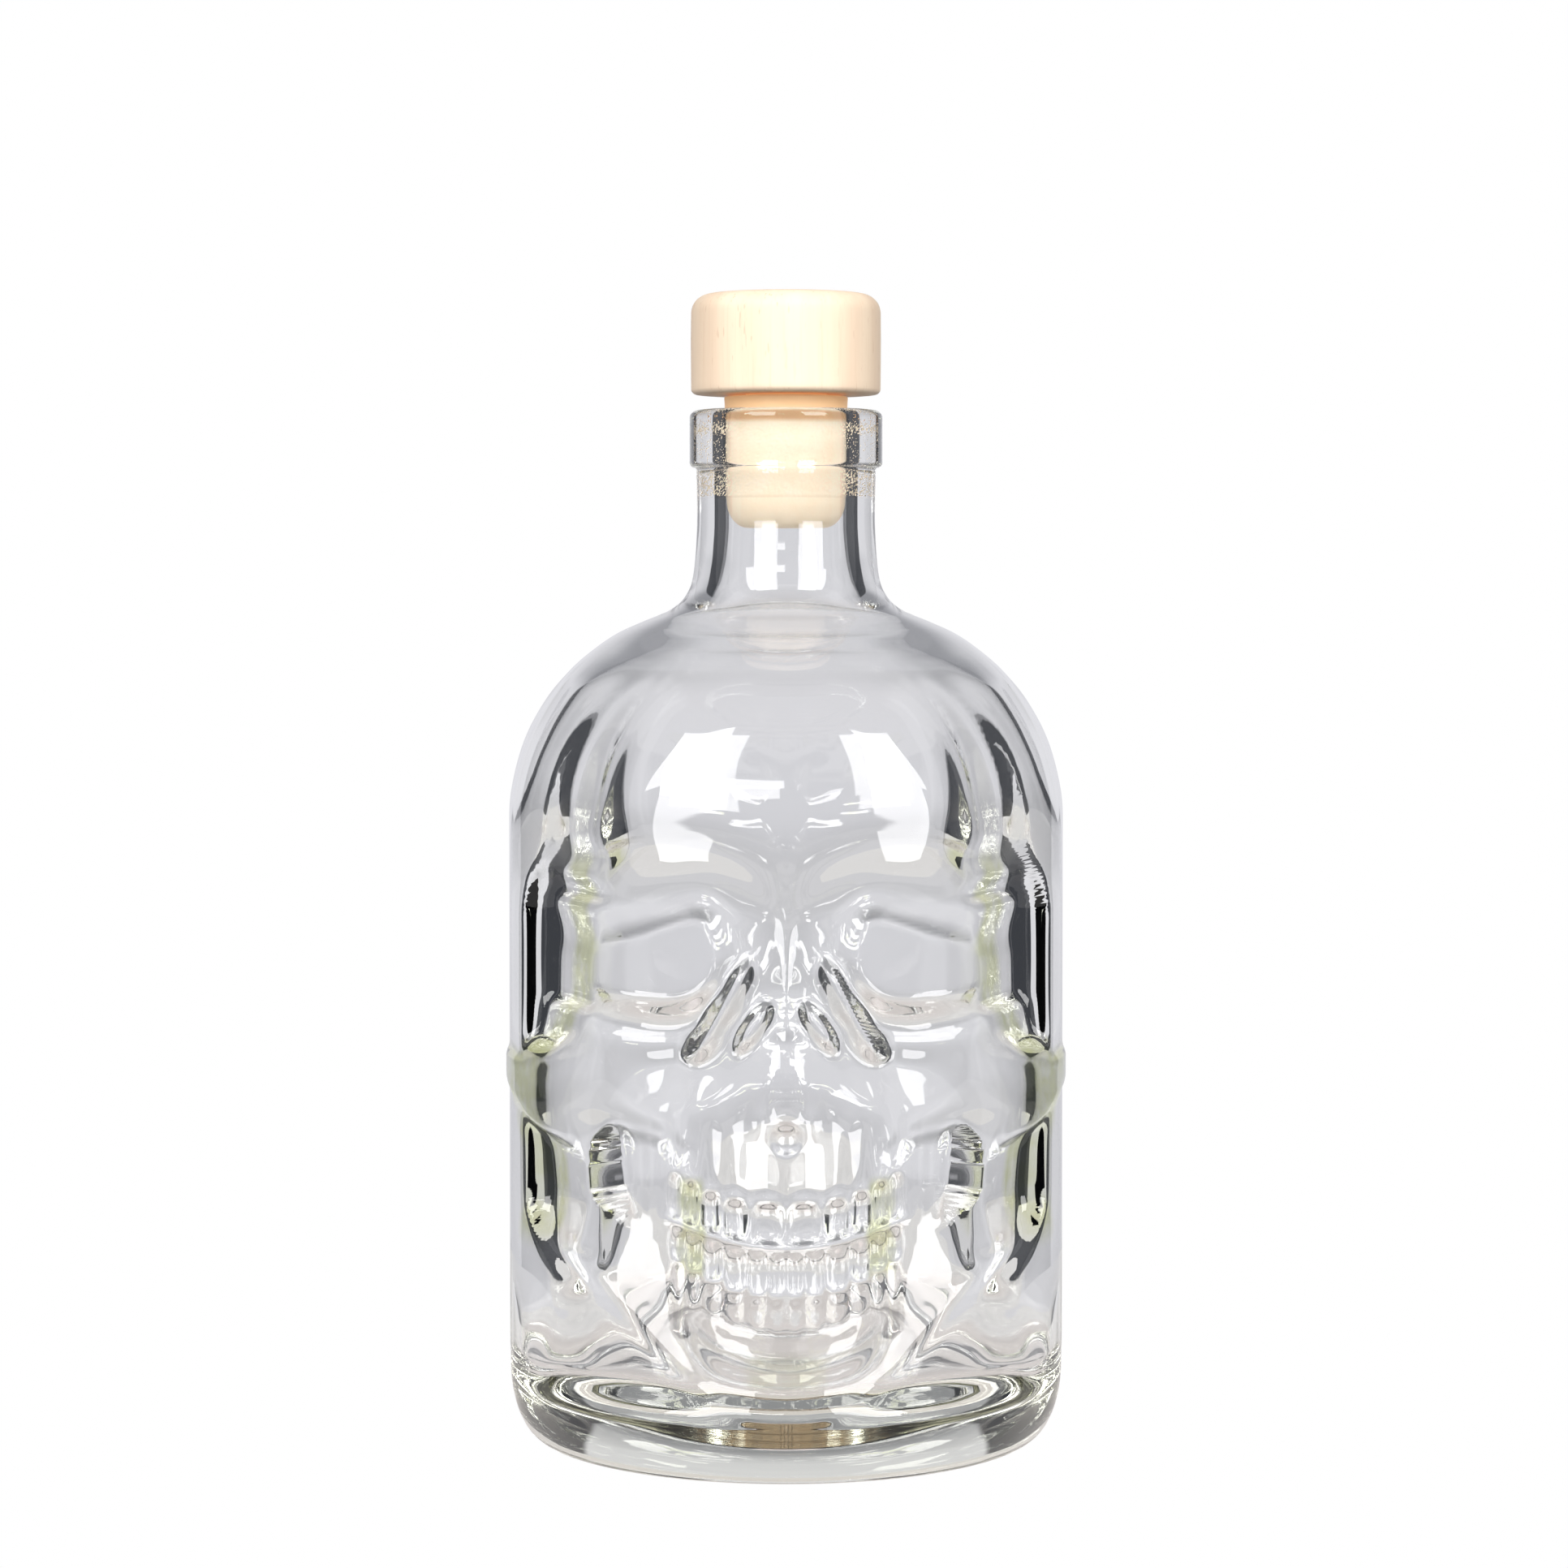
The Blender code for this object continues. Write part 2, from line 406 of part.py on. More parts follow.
# ---------------------------------------------------------------- the pieces
def glass_bottle(mat):
    side = math.radians(72)
    front = np.linspace(-side, side, FRONT_COLUMNS + 1)
    flank = np.linspace(side, math.radians(98), SIDE_COLUMNS + 1)[1:]
    back = np.linspace(math.radians(98), math.radians(262), BACK_COLUMNS + 1)[1:]
    flank2 = np.linspace(math.radians(262), 2 * math.pi - side, SIDE_COLUMNS + 1)[1:-1]
    angles = np.concatenate([front, flank, back, flank2])
    signed = np.where(angles > math.pi, angles - 2 * math.pi, angles)
    bm = bmesh.new()

    # outside, from the mouth down
    lip = rounded(LIP_R, LIP_Z1, 1.2, 1.2, 80, 0, 4) + [(LIP_R, LIP_Z0 + 0.9), (LIP_R - 0.35, LIP_Z0 + 0.25), (LIP_R - 1.1, LIP_Z0)]
    neck = [145.2, 141.0, 136.0, 131.6, 128.8, 126.9, 125.2, 123.4]
    relief = list(121.2 - 2.2 * np.arange(0, 4)) + list(np.linspace(112.0, 12.0, 42)) + [9.4, 7.0, 4.6]
    heel = [2.6, 1.2, 0.35]
    rows = np.array(neck + relief + heel)
    radii = outer_radius(signed, rows)
    loops = [loop_of(bm, [r] * len(angles), z, angles) for r, z in lip]
    loops += [loop_of(bm, radii[:, k], z, angles) for k, z in enumerate(rows)]
    ring = [(RING_OUT, 0.0), (RING_IN, 0.0), (RING_IN - 1.2, 0.9)]
    ring += [(r, 0.9 + (PUNT - 0.9) * math.cos(math.pi / 2 * r / (RING_IN - 1.2))) for r in (22.0, 12.0)]
    loops += [loop_of(bm, [r] * len(angles), z, angles) for r, z in ring]
    for a, b in zip(loops[:-1], loops[1:]):
        bridge(bm, a, b)
    pole = bm.verts.new((0, 0, PUNT * U))
    for k in range(len(angles)):
        bm.faces.new([loops[-1][(k + 1) % len(angles)], loops[-1][k], pole])

    # inside, from the mouth down: the bore, then every second column for the cavity
    bore = [(BORE_R + BORE_FLARE, LIP_Z1), (BORE_R, LIP_Z1 - 0.8), (BORE_R, 147.0), (BORE_R, 140.0), (BORE_R, 134.2)]
    inner = [loop_of(bm, [r] * len(angles), z, angles) for r, z in bore]
    for a, b in zip(inner[:-1], inner[1:]):
        bridge(bm, a, b)
    fine_angles = np.linspace(-math.pi, math.pi, 361)[:-1]
    fine_rows = np.arange(FLOOR_Z - 3, 124.01, 0.75)
    cavity = inner_radius(fine_angles, fine_rows, WALL)
    half = signed[::2]
    wrapped = np.concatenate([cavity, cavity[:1]])
    heights = [131.5, 129.0, 126.4, 124.0, 121.7, 119.0, 116.0, 112.5] + list(np.linspace(109.0, 22.0, 16)) + [18.2, 14.3, 12.7, 11.6, FLOOR_Z + 0.25]
    lows = []
    for z in heights:
        column = np.array([np.interp(z, fine_rows, c) for c in wrapped])
        r = np.interp(half, np.linspace(-math.pi, math.pi, 361), column)
        if z > 112:   # the cavity's shoulder runs up into the bore
            neck_in = curve([108, 112.5, 116, 119.0, 121.7, 123.6, 125.2, 127.0, 129.2, 131.5, 134.0], [38, 32.4, 28.6, 23.8, 18.2, 14.6, 12.3, 10.8, 9.85, 9.35, BORE_R], z)
            r = np.minimum(r, neck_in) if z < 124 else np.full(len(half), float(neck_in))
        corner = FLOOR_CORNER
        if z < FLOOR_Z + corner:   # rounded corner at the floor
            r = r - corner * (1 - math.sqrt(max(0.0, 1 - ((FLOOR_Z + corner - z) / corner) ** 2)))
        lows.append(loop_of(bm, r, z, half))
    bridge(bm, inner[-1], lows[0])
    for a, b in zip(lows[:-1], lows[1:]):
        bridge(bm, a, b)
    last = lows[-1]
    for share in (0.62, 0.3):
        lows.append([bm.verts.new((v.co.x * share, v.co.y * share, (FLOOR_Z + FLOOR_RISE * (1 - share) ** 2) * U)) for v in last])
        bridge(bm, lows[-2], lows[-1])
    boss = bm.verts.new((0, 0, (FLOOR_Z + FLOOR_RISE) * U))
    for k in range(len(half)):
        bm.faces.new([lows[-1][(k + 1) % len(half)], lows[-1][k], boss])
    bridge(bm, inner[0], loops[0])
    bmesh.ops.recalc_face_normals(bm, faces=bm.faces)
    bmesh.ops.triangulate(bm, faces=bm.faces)
    return mesh_object("glass_bottle", bm, mat, 50)


def stopper_head(mat):
    top = [(0.0, HEAD_Z1), (6.5, HEAD_Z1)] + rounded(HEAD_R, HEAD_Z1, HEAD_TOP_RADIUS, HEAD_TOP_RADIUS, 90, 0, 7)
    foot = [(HEAD_R, HEAD_Z0 + HEAD_FOOT_RADIUS), (HEAD_R - 0.25, HEAD_Z0 + 0.22), (HEAD_R - HEAD_FOOT_RADIUS, HEAD_Z0)]
    socket = [(SOCKET_R, HEAD_Z0), (SOCKET_R, SOCKET_Z1), (0.0, SOCKET_Z1)]
    return turned("stopper_head", top + foot + socket, mat)


def stopper_plug(mat):
    profile = [(0.0, TENON_Z1), (TENON_R - 0.5, TENON_Z1), (TENON_R, TENON_Z1 - 0.5), (TENON_R, HEAD_Z0 - GAP),
               (COLLAR_R, HEAD_Z0 - GAP), (COLLAR_R - 0.08, HEAD_Z0 - 1.2), (COLLAR_R, LIP_Z1 + GAP), (SHANK_R, LIP_Z1 - 0.6)]
    for z in (152.6, 148.4, 144.2):   # three sealing ribs
        profile += [(SHANK_R, z + 1.3), (SHANK_R + RIB, z), (SHANK_R, z - 1.3)]
    profile += [(SHANK_R, SHANK_Z0 + 4.4)] + [(SHANK_R - 2.9 + 2.9 * math.cos(a), SHANK_Z0 + 4.4 - 4.4 * math.sin(a)) for a in np.linspace(0.35, math.pi / 2, 5)]
    profile += [(0.0, SHANK_Z0)]
    return turned("stopper_plug", profile, mat)


def stopper_glue(mat):
    return turned("stopper_glue", [(0.0, GLUE_Z1), (GLUE_R, GLUE_Z1), (GLUE_R, GLUE_Z0), (0.0, GLUE_Z0)], mat, 32)


def main():
    for obj in list(bpy.data.objects):
        bpy.data.objects.remove(obj)
    glass = material("clear_flint_glass", (0.90, 0.93, 0.88), 0.02, 1.0, 1.52)
    wood = material("beech", (0.86, 0.66, 0.45), 0.55)
    shank = material("cream_elastomer", (0.90, 0.72, 0.52), 0.45)
    glue = material("hot_melt_glue", (0.80, 0.70, 0.50), 0.4)
    glass_bottle(glass)
    stopper = bpy.data.objects.new("stopper_axis", None)   # the stopper's slide lies on the bottle's axis
    stopper.location = (0, 0, 0)
    bpy.context.scene.collection.objects.link(stopper)
    for piece in (stopper_head(wood), stopper_plug(shank), stopper_glue(glue)):
        piece.parent = stopper


main()
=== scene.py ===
"""Looks of the skull bottle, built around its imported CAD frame.

The glass is modelled again here at full detail: teeth, nose, cheeks, knurled standing ring, and a cavity
behind a wall of its own. The wooden head and the synthetic shank are turned again with their small
irregularities, and every surface gets a procedural material. Lengths below are in units of 1/84 of the
body's diameter, as in the CAD source, and U turns them into metres.
"""
import math

import bpy
import numpy as np
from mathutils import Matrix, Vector

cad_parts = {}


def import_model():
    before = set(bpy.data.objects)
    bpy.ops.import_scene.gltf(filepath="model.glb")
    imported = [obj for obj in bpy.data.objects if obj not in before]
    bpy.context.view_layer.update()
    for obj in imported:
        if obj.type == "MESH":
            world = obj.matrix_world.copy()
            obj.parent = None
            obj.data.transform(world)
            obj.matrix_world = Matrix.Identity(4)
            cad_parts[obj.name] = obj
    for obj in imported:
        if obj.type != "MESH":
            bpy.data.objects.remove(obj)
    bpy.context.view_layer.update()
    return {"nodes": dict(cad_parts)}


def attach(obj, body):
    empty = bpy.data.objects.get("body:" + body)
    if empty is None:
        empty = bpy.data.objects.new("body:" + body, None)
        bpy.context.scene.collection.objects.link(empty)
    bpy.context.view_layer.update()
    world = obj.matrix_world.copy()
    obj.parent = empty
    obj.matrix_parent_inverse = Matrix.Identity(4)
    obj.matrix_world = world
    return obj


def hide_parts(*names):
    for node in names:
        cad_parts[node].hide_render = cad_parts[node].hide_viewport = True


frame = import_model()

# ---------------------------------------------------------------- driving dimensions
BODY_DIAMETER = 0.086
BODY_R = 42.0
U = BODY_DIAMETER / (2 * BODY_R)
HEEL_W, HEEL_H = 5.0, 11.0
RING_OUT, RING_IN = 36.6, 31.6
PUNT = 2.6
FLOOR_Z, FLOOR_RISE, FLOOR_CORNER = 10.7, 1.2, 3.6
WALL = 3.2
TEMPLE_WALL = 0.8        # extra thickness at the temples
LIP_Z0, LIP_Z1, LIP_R = 146.8, 155.5, 14.65
BORE_R = 9.2
HEAD_Z0, HEAD_Z1, HEAD_R = 157.9, 173.1, 14.4
HEAD_TOP_RADIUS, HEAD_FOOT_RADIUS = 2.9, 0.7
SHANK_R, SHANK_Z0, RIB = 9.08, 137.6, 0.16
CONTACT_Z0 = 142.4       # the shank is tight in the bore above this
COLLAR_R = 9.4
TENON_R, TENON_Z1 = 6.0, 163.6
SOCKET_R, SOCKET_Z1 = 6.35, 164.7

SHOULDER = [(94.5, 42.0), (97.0, 41.8), (99.4, 41.38), (101.9, 40.8), (104.4, 40.05), (106.9, 39.05), (109.3, 37.8),
            (111.8, 36.25), (114.3, 34.35), (116.8, 32.1), (119.2, 29.3), (121.7, 25.6), (123.6, 21.4), (125.2, 17.6),
            (126.9, 15.6), (129.2, 14.4), (131.6, 13.95), (136.0, 13.62), (139.6, 13.5), (142.5, 13.54), (145.2, 13.62)]

# the face as sections across the bottle: a height, then the distance before the axis at the half-widths in COLS
COLS = [0, 5, 10, 15, 20, 24, 27.5, 31, 35, 43]
NET = [
    (4, 41.0, 40.7, 39.8, 38.2, 35.9, 33.2, 30.4, 27.0, 22, 10),
    (10, 41.5, 41.3, 40.4, 38.8, 36.4, 33.8, 30.9, 27.4, 22.3, 10),
    (14, 39.9, 39.5, 38.2, 36.0, 33.2, 30.6, 28.4, 26.2, 22.5, 10),
    (18, 39.8, 39.3, 37.9, 35.6, 32.9, 30.4, 28.4, 26.6, 23, 10),
    (22, 39.8, 39.2, 37.5, 35.1, 32.5, 30.3, 28.6, 27.0, 23.5, 12),
    (25, 39.9, 39.1, 37.0, 34.3, 32.0, 30.2, 28.7, 27.2, 24, 12),
    (30, 40.3, 39.2, 36.3, 32.9, 30.6, 29.5, 28.8, 27.4, 24.2, 12),
    (36, 40.9, 39.6, 36.4, 32.2, 29.2, 28.7, 29.0, 27.7, 24.2, 12),
    (42, 40.7, 39.9, 37.3, 32.2, 28.7, 28.4, 29.6, 28.1, 24.2, 12),
    (47, 39.5, 38.8, 36.7, 32.9, 29.9, 29.6, 30.4, 28.5, 24.0, 12),
    (51, 38.2, 37.7, 36.3, 34.5, 33.0, 32.2, 31.2, 28.5, 23.6, 12),
    (55, 37.5, 37.3, 36.7, 36.1, 35.3, 33.8, 31.6, 28.5, 23.4, 12),
    (59, 37.9, 37.8, 37.5, 37.2, 36.4, 34.5, 31.8, 28.5, 23.4, 12),
    (63, 38.8, 38.5, 37.9, 37.6, 36.7, 34.5, 31.6, 28.3, 23.4, 12),
    (67, 41.2, 39.4, 37.7, 37.4, 36.6, 34.2, 31.0, 27.6, 23, 12),
    (71, 41.4, 39.6, 37.7, 37.3, 36.4, 33.9, 30.5, 27.0, 22, 12),
    (76, 40.6, 39.5, 38.2, 37.7, 36.6, 34.0, 30.4, 26.8, 22, 12),
    (80, 40.1, 39.6, 38.9, 38.3, 37.0, 34.2, 30.6, 26.9, 22, 12),
    (84, 40.2, 40.1, 39.7, 38.9, 37.4, 35.4, 32.2, 28.2, 22.4, 12),
    (88, 40.2, 40.1, 39.7, 39.0, 37.7, 35.9, 33.4, 29.7, 22.8, 12),
    (92, 40.15, 40.05, 39.65, 38.85, 37.4, 35.55, 33.2, 29.8, 23.2, 12),
    (98, 40.0, 39.86, 39.4, 38.5, 36.9, 35.0, 32.7, 29.5, 23.4, 10),
    (103, 39.3, 39.16, 38.7, 37.8, 36.2, 34.3, 32.0, 29.0, 23.4, 10),
    (107, 38.1, 37.96, 37.5, 36.6, 35.1, 33.3, 31.1, 28.3, 23.2, 10),
    (110, 36.8, 36.66, 36.2, 35.3, 33.9, 32.2, 30.2, 27.6, 23.2, 10),
    (114, 34.6, 34.5, 34.1, 33.3, 32.0, 30.6, 28.9, 26.6, 22.8, 10),
    (120, 31.0, 30.9, 30.6, 30.0, 29.0, 28.0, 26.8, 25.2, 22.4, 10),
    (130, 31.0, 30.9, 30.6, 30.0, 29.0, 28.0, 26.8, 25.2, 22.4, 10),
]
EDGE = [(9.0, 0.0), (9.8, 4.5), (10.8, 8.6), (13.4, 14.2), (18.7, 20.2), (24.6, 25.2), (28.5, 28.7), (31.5, 30.4),
        (35, 29.6), (40, 28.7), (45, 28.9), (49, 30.8), (52, 33.2), (56, 35.0), (58.4, 34.0), (60.5, 31.8), (64, 29.8),
        (67.2, 28.8), (68.4, 27.1), (73.9, 27.0), (77.3, 26.4), (81.8, 27.5), (83.1, 26.8), (84.1, 25.3), (87.2, 26.7),
        (89.5, 26.0), (93.3, 27.3), (99.4, 26.2), (104, 24.8), (108.9, 22.3), (113, 19.3), (116.5, 16.2), (120, 12.5)]
ORBIT = [(5.9, 80.2), (7.4, 84.4), (11.6, 86.9), (17.5, 87.0), (23.2, 85.6), (28.5, 82.8), (33.5, 78.5), (33.5, 72.5),
         (28.0, 68.2), (20.4, 66.9), (14.2, 67.2), (9.6, 69.8), (6.6, 74.8)]
NOSE_SIDE = [(4.6, 79.0), (5.9, 74.5), (8.6, 69.0), (11.4, 64.2), (12.8, 61.8)]
NOSE_WALL = [(3.2, 73.5), (5.6, 68.5), (8.6, 63.2), (9.8, 58.5)]
NOSE_HOLE = [(0, 70.6), (2.0, 69.9), (4.6, 66.0), (6.8, 61.6), (7.6, 57.4), (6.0, 53.9), (2.6, 53.3), (0, 53.9)]
CHEEK_ROLL = [(12.5, 61.8), (18, 60.5), (24, 60.2), (29, 59.8)]
HOLLOW = [(24.5, 50.6), (24.4, 46.5), (24.0, 42.5), (23.2, 39.0), (22.6, 36.5)]
CHEEK_EDGE = [(15.5, 47.5), (19.5, 50.2), (24, 51.0), (29, 50.4), (33, 50.0)]
RAMUS = [(26.2, 47.5), (26.2, 42), (26.8, 36), (27.2, 32)]
JAW = [(30.0, 32.0), (27.4, 28.6), (23.6, 24.6), (18.8, 19.6), (13.4, 14.8), (7.6, 11.9), (0, 10.9), (-7.6, 11.9)]
TEETH = [
    (2.6, 2.35, 41.0, 35.3, 1.0), (7.3, 1.75, 41.3, 35.7, 1.6), (10.85, 1.45, 42.0, 36.3, 1.8),
    (13.75, 1.2, 43.2, 37.0, 1.7), (16.1, 1.0, 44.0, 37.6, 1.4), (1.35, 1.25, 28.0, 33.5, 0.9),
    (4.15, 1.4, 28.1, 33.7, 1.0), (7.35, 1.6, 28.4, 34.0, 1.3), (10.65, 1.4, 29.4, 34.6, 1.6),
    (13.4, 1.15, 30.6, 35.2, 1.5), (15.7, 0.95, 31.8, 35.8, 1.3),
]
ARCH = [(46, 49.0, 61.4), (52, 49.2, 60.4), (58, 49.4, 59.2), (70, 51.0, 59.0), (80, 52.8, 59.4), (100, 54.6, 59.2)]
ARCH_PROUD = 0.6
BOX = 8.0                # radiance of the two soft boxes
LAMPS = [(-41, -13.5, 3.2, 12.6), (-52, -1.5, 12.4, 16), (-52, -14.5, 15.8, 46),      # left of the camera: from and to in
         (21.5, 48, 3.2, 13.2), (20.3, 52, 13, 46)]                                   # azimuth, from and to in elevation
RECESS_SLOPE = 2.5
RECESS_FLOOR = [(28, 24.0), (34, 17.5), (38, 15.5), (48, 15.2), (58, 14.6), (80, 14.6), (85, 16.5), (89, 20.5), (93, 22.5), (121, 22.5)]
NOSE_CREASE = 5.0

# ---- density and softness of the meshes here ----
CORE_REACH, CORE_BLUR = (10, 6.0), (6.0, 4.2)  # degrees and heights: how far the cavity smooths over a hollow
BROW_REACH, BROW_BLUR = (3, 3.0), (4.5, 3.5)    # the same from the forehead up
CORE_HOLD = 71.0         # below this height the front of the cavity is upright
FINE_STEP, FINE_SOFT = 0.125, 0.32       # the outer surface's height field
CORE_STEP, CORE_SOFT = 0.25, 0.75        # the softer field that the cavity follows


# ---------------------------------------------------------------- small maths
def ease(a, b, t):
    t = np.clip((np.asarray(t, float) - a) / (b - a), 0, 1)
    return t * t * (3 - 2 * t)


def soft_min(a, b, k):
    h = np.clip(0.5 + 0.5 * (b - a) / k, 0, 1)
    return b + (a - b) * h - k * h * (1 - h)


def soft_max(a, b, k):
    return -soft_min(-a, -b, k)


def bell(t, w):
    return np.exp(-((t / w) ** 2))


def curve(xs, ys, x):
    """Monotone cubic through (xs, ys). ys may hold several curves, one in each column."""
    xs, ys, x = np.asarray(xs, float), np.asarray(ys, float), np.asarray(x, float)
    single = ys.ndim == 1
    if single:
        ys = ys[:, None]
    h = np.diff(xs)[:, None]
    d = np.diff(ys, axis=0) / h
    m = np.zeros_like(ys)
    m[0], m[-1] = d[0], d[-1]
    a, b = d[:-1], d[1:]
    w1, w2 = 2 * h[1:] + h[:-1], h[1:] + 2 * h[:-1]
    safe = np.where(a * b > 0, 1.0, 0.0)
    aa, bb = np.where(safe > 0, a, 1.0), np.where(safe > 0, b, 1.0)
    m[1:-1] = safe * (w1 + w2) / (w1 / aa + w2 / bb)
    flat = np.clip(x, xs[0], xs[-1]).reshape(-1)
    i = np.clip(np.searchsorted(xs, flat) - 1, 0, len(xs) - 2)
    hh = h[i, 0][:, None]
    t = ((flat - xs[i]) / h[i, 0])[:, None]
    y = (ys[i] * (1 + 2 * t) * (1 - t) ** 2 + hh * m[i] * t * (1 - t) ** 2
         + ys[i + 1] * t * t * (3 - 2 * t) + hh * m[i + 1] * t * t * (t - 1))
    return y[:, 0].reshape(x.shape) if single else y.reshape(x.shape + (ys.shape[1],))


def smooth_path(points, closed, sub=8):
    """Catmull-Rom curve through the points."""
    p = np.asarray(points, float)
    if closed:
        ring = np.vstack([p[-1:], p, p[:2]])
    else:
        ring = np.vstack([2 * p[0] - p[1], p, 2 * p[-1] - p[-2]])
    out = []
    for i in range(1, len(ring) - 2):
        p0, p1, p2, p3 = ring[i - 1:i + 3]
        for t in np.arange(sub) / sub:
            out.append(0.5 * (2 * p1 + (p2 - p0) * t + (2 * p0 - 5 * p1 + 4 * p2 - p3) * t * t
                              + (3 * p1 - p0 - 3 * p2 + p3) * t ** 3))
    out.append(ring[-2])
    return np.array(out)


def distance(points, X, Z, closed=False):
    """Distance to a smooth line; for a closed one, positive inside it."""
    path = smooth_path(points, closed)
    best = np.full(X.shape, 1e9)
    inside = np.zeros(X.shape, bool)
    for (ax, az), (bx, bz) in zip(path[:-1], path[1:]):
        dx, dz = bx - ax, bz - az
        t = np.clip(((X - ax) * dx + (Z - az) * dz) / (dx * dx + dz * dz + 1e-12), 0, 1)
        np.minimum(best, (X - ax - t * dx) ** 2 + (Z - az - t * dz) ** 2, out=best)
        if closed and bz != az:
            inside ^= ((az > Z) != (bz > Z)) & (X < ax + (Z - az) / (bz - az) * dx)
    d = np.sqrt(best)
    return np.where(inside, d, -d) if closed else d


def blurred(A, s, step):
    """Gaussian blur of a field on a square grid, mirrored at its first row."""
    n = int(math.ceil(3 * s / step))
    k = np.exp(-0.5 * (np.arange(-n, n + 1) * step / s) ** 2)
    k /= k.sum()
    for axis in (0, 1):
        B = np.moveaxis(A, axis, 0)
        lead = B[n:0:-1] if axis == 0 else np.repeat(B[:1], n, 0)
        P = np.concatenate([lead, B, np.repeat(B[-1:], n, 0)])
        A = np.moveaxis(sum(k[j] * P[j:j + len(B)] for j in range(2 * n + 1)), 0, axis)
    return A


# ---------------------------------------------------------------- the bottle's outer surface
def plain_radius(z):
    """Radius of the bottle without its face."""
    z = np.asarray(z, float)
    heel = BODY_R - HEEL_W + HEEL_W * np.sqrt(np.clip(1 - ((HEEL_H - np.clip(z, 0, HEEL_H)) / HEEL_H) ** 2, 0, 1))
    s = np.array(SHOULDER)
    return np.where(z < HEEL_H, heel, np.where(z < s[0, 0], BODY_R, curve(s[:, 0], s[:, 1], z)))


def face_field(xg, zg, step, soft, detail):
    """How far the front stands before the axis, on a grid of half-widths by heights. detail adds the
    sharp creases that only the outer surface has."""
    X, Z = np.meshgrid(xg, zg, indexing="ij")
    net = np.array(NET)
    sections = curve(net[:, 0], net[:, 1:], zg)
    env = curve(COLS, sections.T, xg)
    plain = np.sqrt(np.clip(plain_radius(zg)[None, :] ** 2 - X ** 2, 0, None))
    Y = env.copy()
    d = distance(ORBIT, X, Z, closed=True)
    Y += 0.3 * bell(d + 2.2, 2.6) * ease(74, 83, Z) * ease(31, 25, X)       # brow
    Y += 0.9 * bell(d + 1.3, 1.2) * ease(74, 69, Z) * ease(7, 12, X)        # lower rim
    reach = 2.8 + ease(71, 83, Z) * (2.6 + 4.6 * ease(9, 25, X)) + 0.8 * ease(14, 8, X)
    t = np.clip(d / reach, 0, 1)
    fall = ease(0, 1, t) + (t ** 1.8 - ease(0, 1, t)) * ease(72, 82, Z)
    Y -= (4.4 + 0.6 * ease(20, 9, X)) * fall * (1 - 0.45 * ease(19, 28, X))
    ridge = curve([60, 68, 76, 82, 90], [4.6, 3.8, 3.0, 3.0, 5.0], Z)
    Y += 1.1 * bell(X, ridge) * ease(67, 72, Z) * ease(86, 78, Z)           # nasal bones
    across = 0.6 + 0.95 * np.sqrt(np.clip(1 - ((Z - 67.2) / 8.0) ** 2, 0, 1)) - 0.4 * bell(Z - 66.0, 1.6)
    fine = 0.35 + 0.65 * detail
    Y -= fine * NOSE_CREASE * bell(distance(NOSE_SIDE, X, Z), across) * ease(77.0, 72.5, Z) * ease(59.5, 62.5, Z)
    hole = NOSE_HOLE + [(-x, z) for x, z in NOSE_HOLE[-2:0:-1]]
    d = distance(hole, X, Z, closed=True)
    Y -= 0.35 * ease(0, 5.0, d)
    pu, pv = (X - 4.7) * 0.829 + (Z - 65.9) * 0.559, -(X - 4.7) * 0.559 + (Z - 65.9) * 0.829
    Y -= fine * 3.6 * ease(1.2, 0.55, np.sqrt((pu / 1.45) ** 2 + (pv / 4.2) ** 2))    # nostrils
    Y += 1.7 * detail * np.sqrt(np.clip(1 - (X / 2.3) ** 2 - ((Z - 49.9) / 2.1) ** 2, 0, 1))   # spine under the nose
    Y -= 0.7 * detail * np.exp(-((X - 3.6) / 1.2) ** 2 - ((Z - 52.0) / 2.2) ** 2)
    Y += 0.5 * bell(distance(CHEEK_ROLL, X, Z), 1.6)
    Y += 0.8 * bell(distance(CHEEK_EDGE, X, Z), 1.5) * ease(34, 29, X)
    Y -= 0.9 * np.exp(-((X - 13.2) / 3.2) ** 2 - ((Z - 54.5) / 3.6) ** 2)
    Y += 0.8 * bell(distance(RAMUS, X, Z), 1.6)
    across = curve([36, 40, 43, 47, 51], [0.9, 1.2, 1.6, 1.8, 1.2], Z)
    Y -= (0.5 + 0.5 * detail) * 3.4 * bell(distance(HOLLOW, X, Z), across) * ease(52, 49, Z) * ease(35.5, 41, Z)
    Y += 0.7 * bell(distance(JAW, X, Z), 1.9) * ease(33.5, 30, Z)
    crest = Z - 17.6 - 0.020 * X ** 2
    Y += 1.5 * np.where(crest > 0, ease(4.6, 1.2, crest), bell(crest, 3.4)) * ease(15, 9, X)
    for cx, half, gum, bite, swell in TEETH if detail else []:
        u = (X - cx) / half
        low, high = min(gum, bite), max(gum, bite)
        v = (Z - (low + high) / 2) / ((high - low) / 2)
        Y += swell * np.sqrt(np.clip(1 - np.abs(u) ** 2.6 - np.abs(v) ** 2.6, 0, 1))
        Y -= 0.3 * bell(np.abs(u) - 1.1, 0.18) * ease(1.15, 0.7, np.abs(v))
        root = gum + (4.2 if gum > bite else -2.4)
        Y += 0.5 * min(swell, 1.2) * np.clip(1 - np.abs(u), 0, 1) ** 1.1 * bell(Z - root, 4.6 if gum > bite else 2.4) * ease(0.0, 1.6, np.abs(Z - gum))
    Y -= 0.9 * detail * bell(Z - 34.35 - 0.009 * X ** 2, 0.7) * ease(18.5, 16, X)    # where the two rows meet
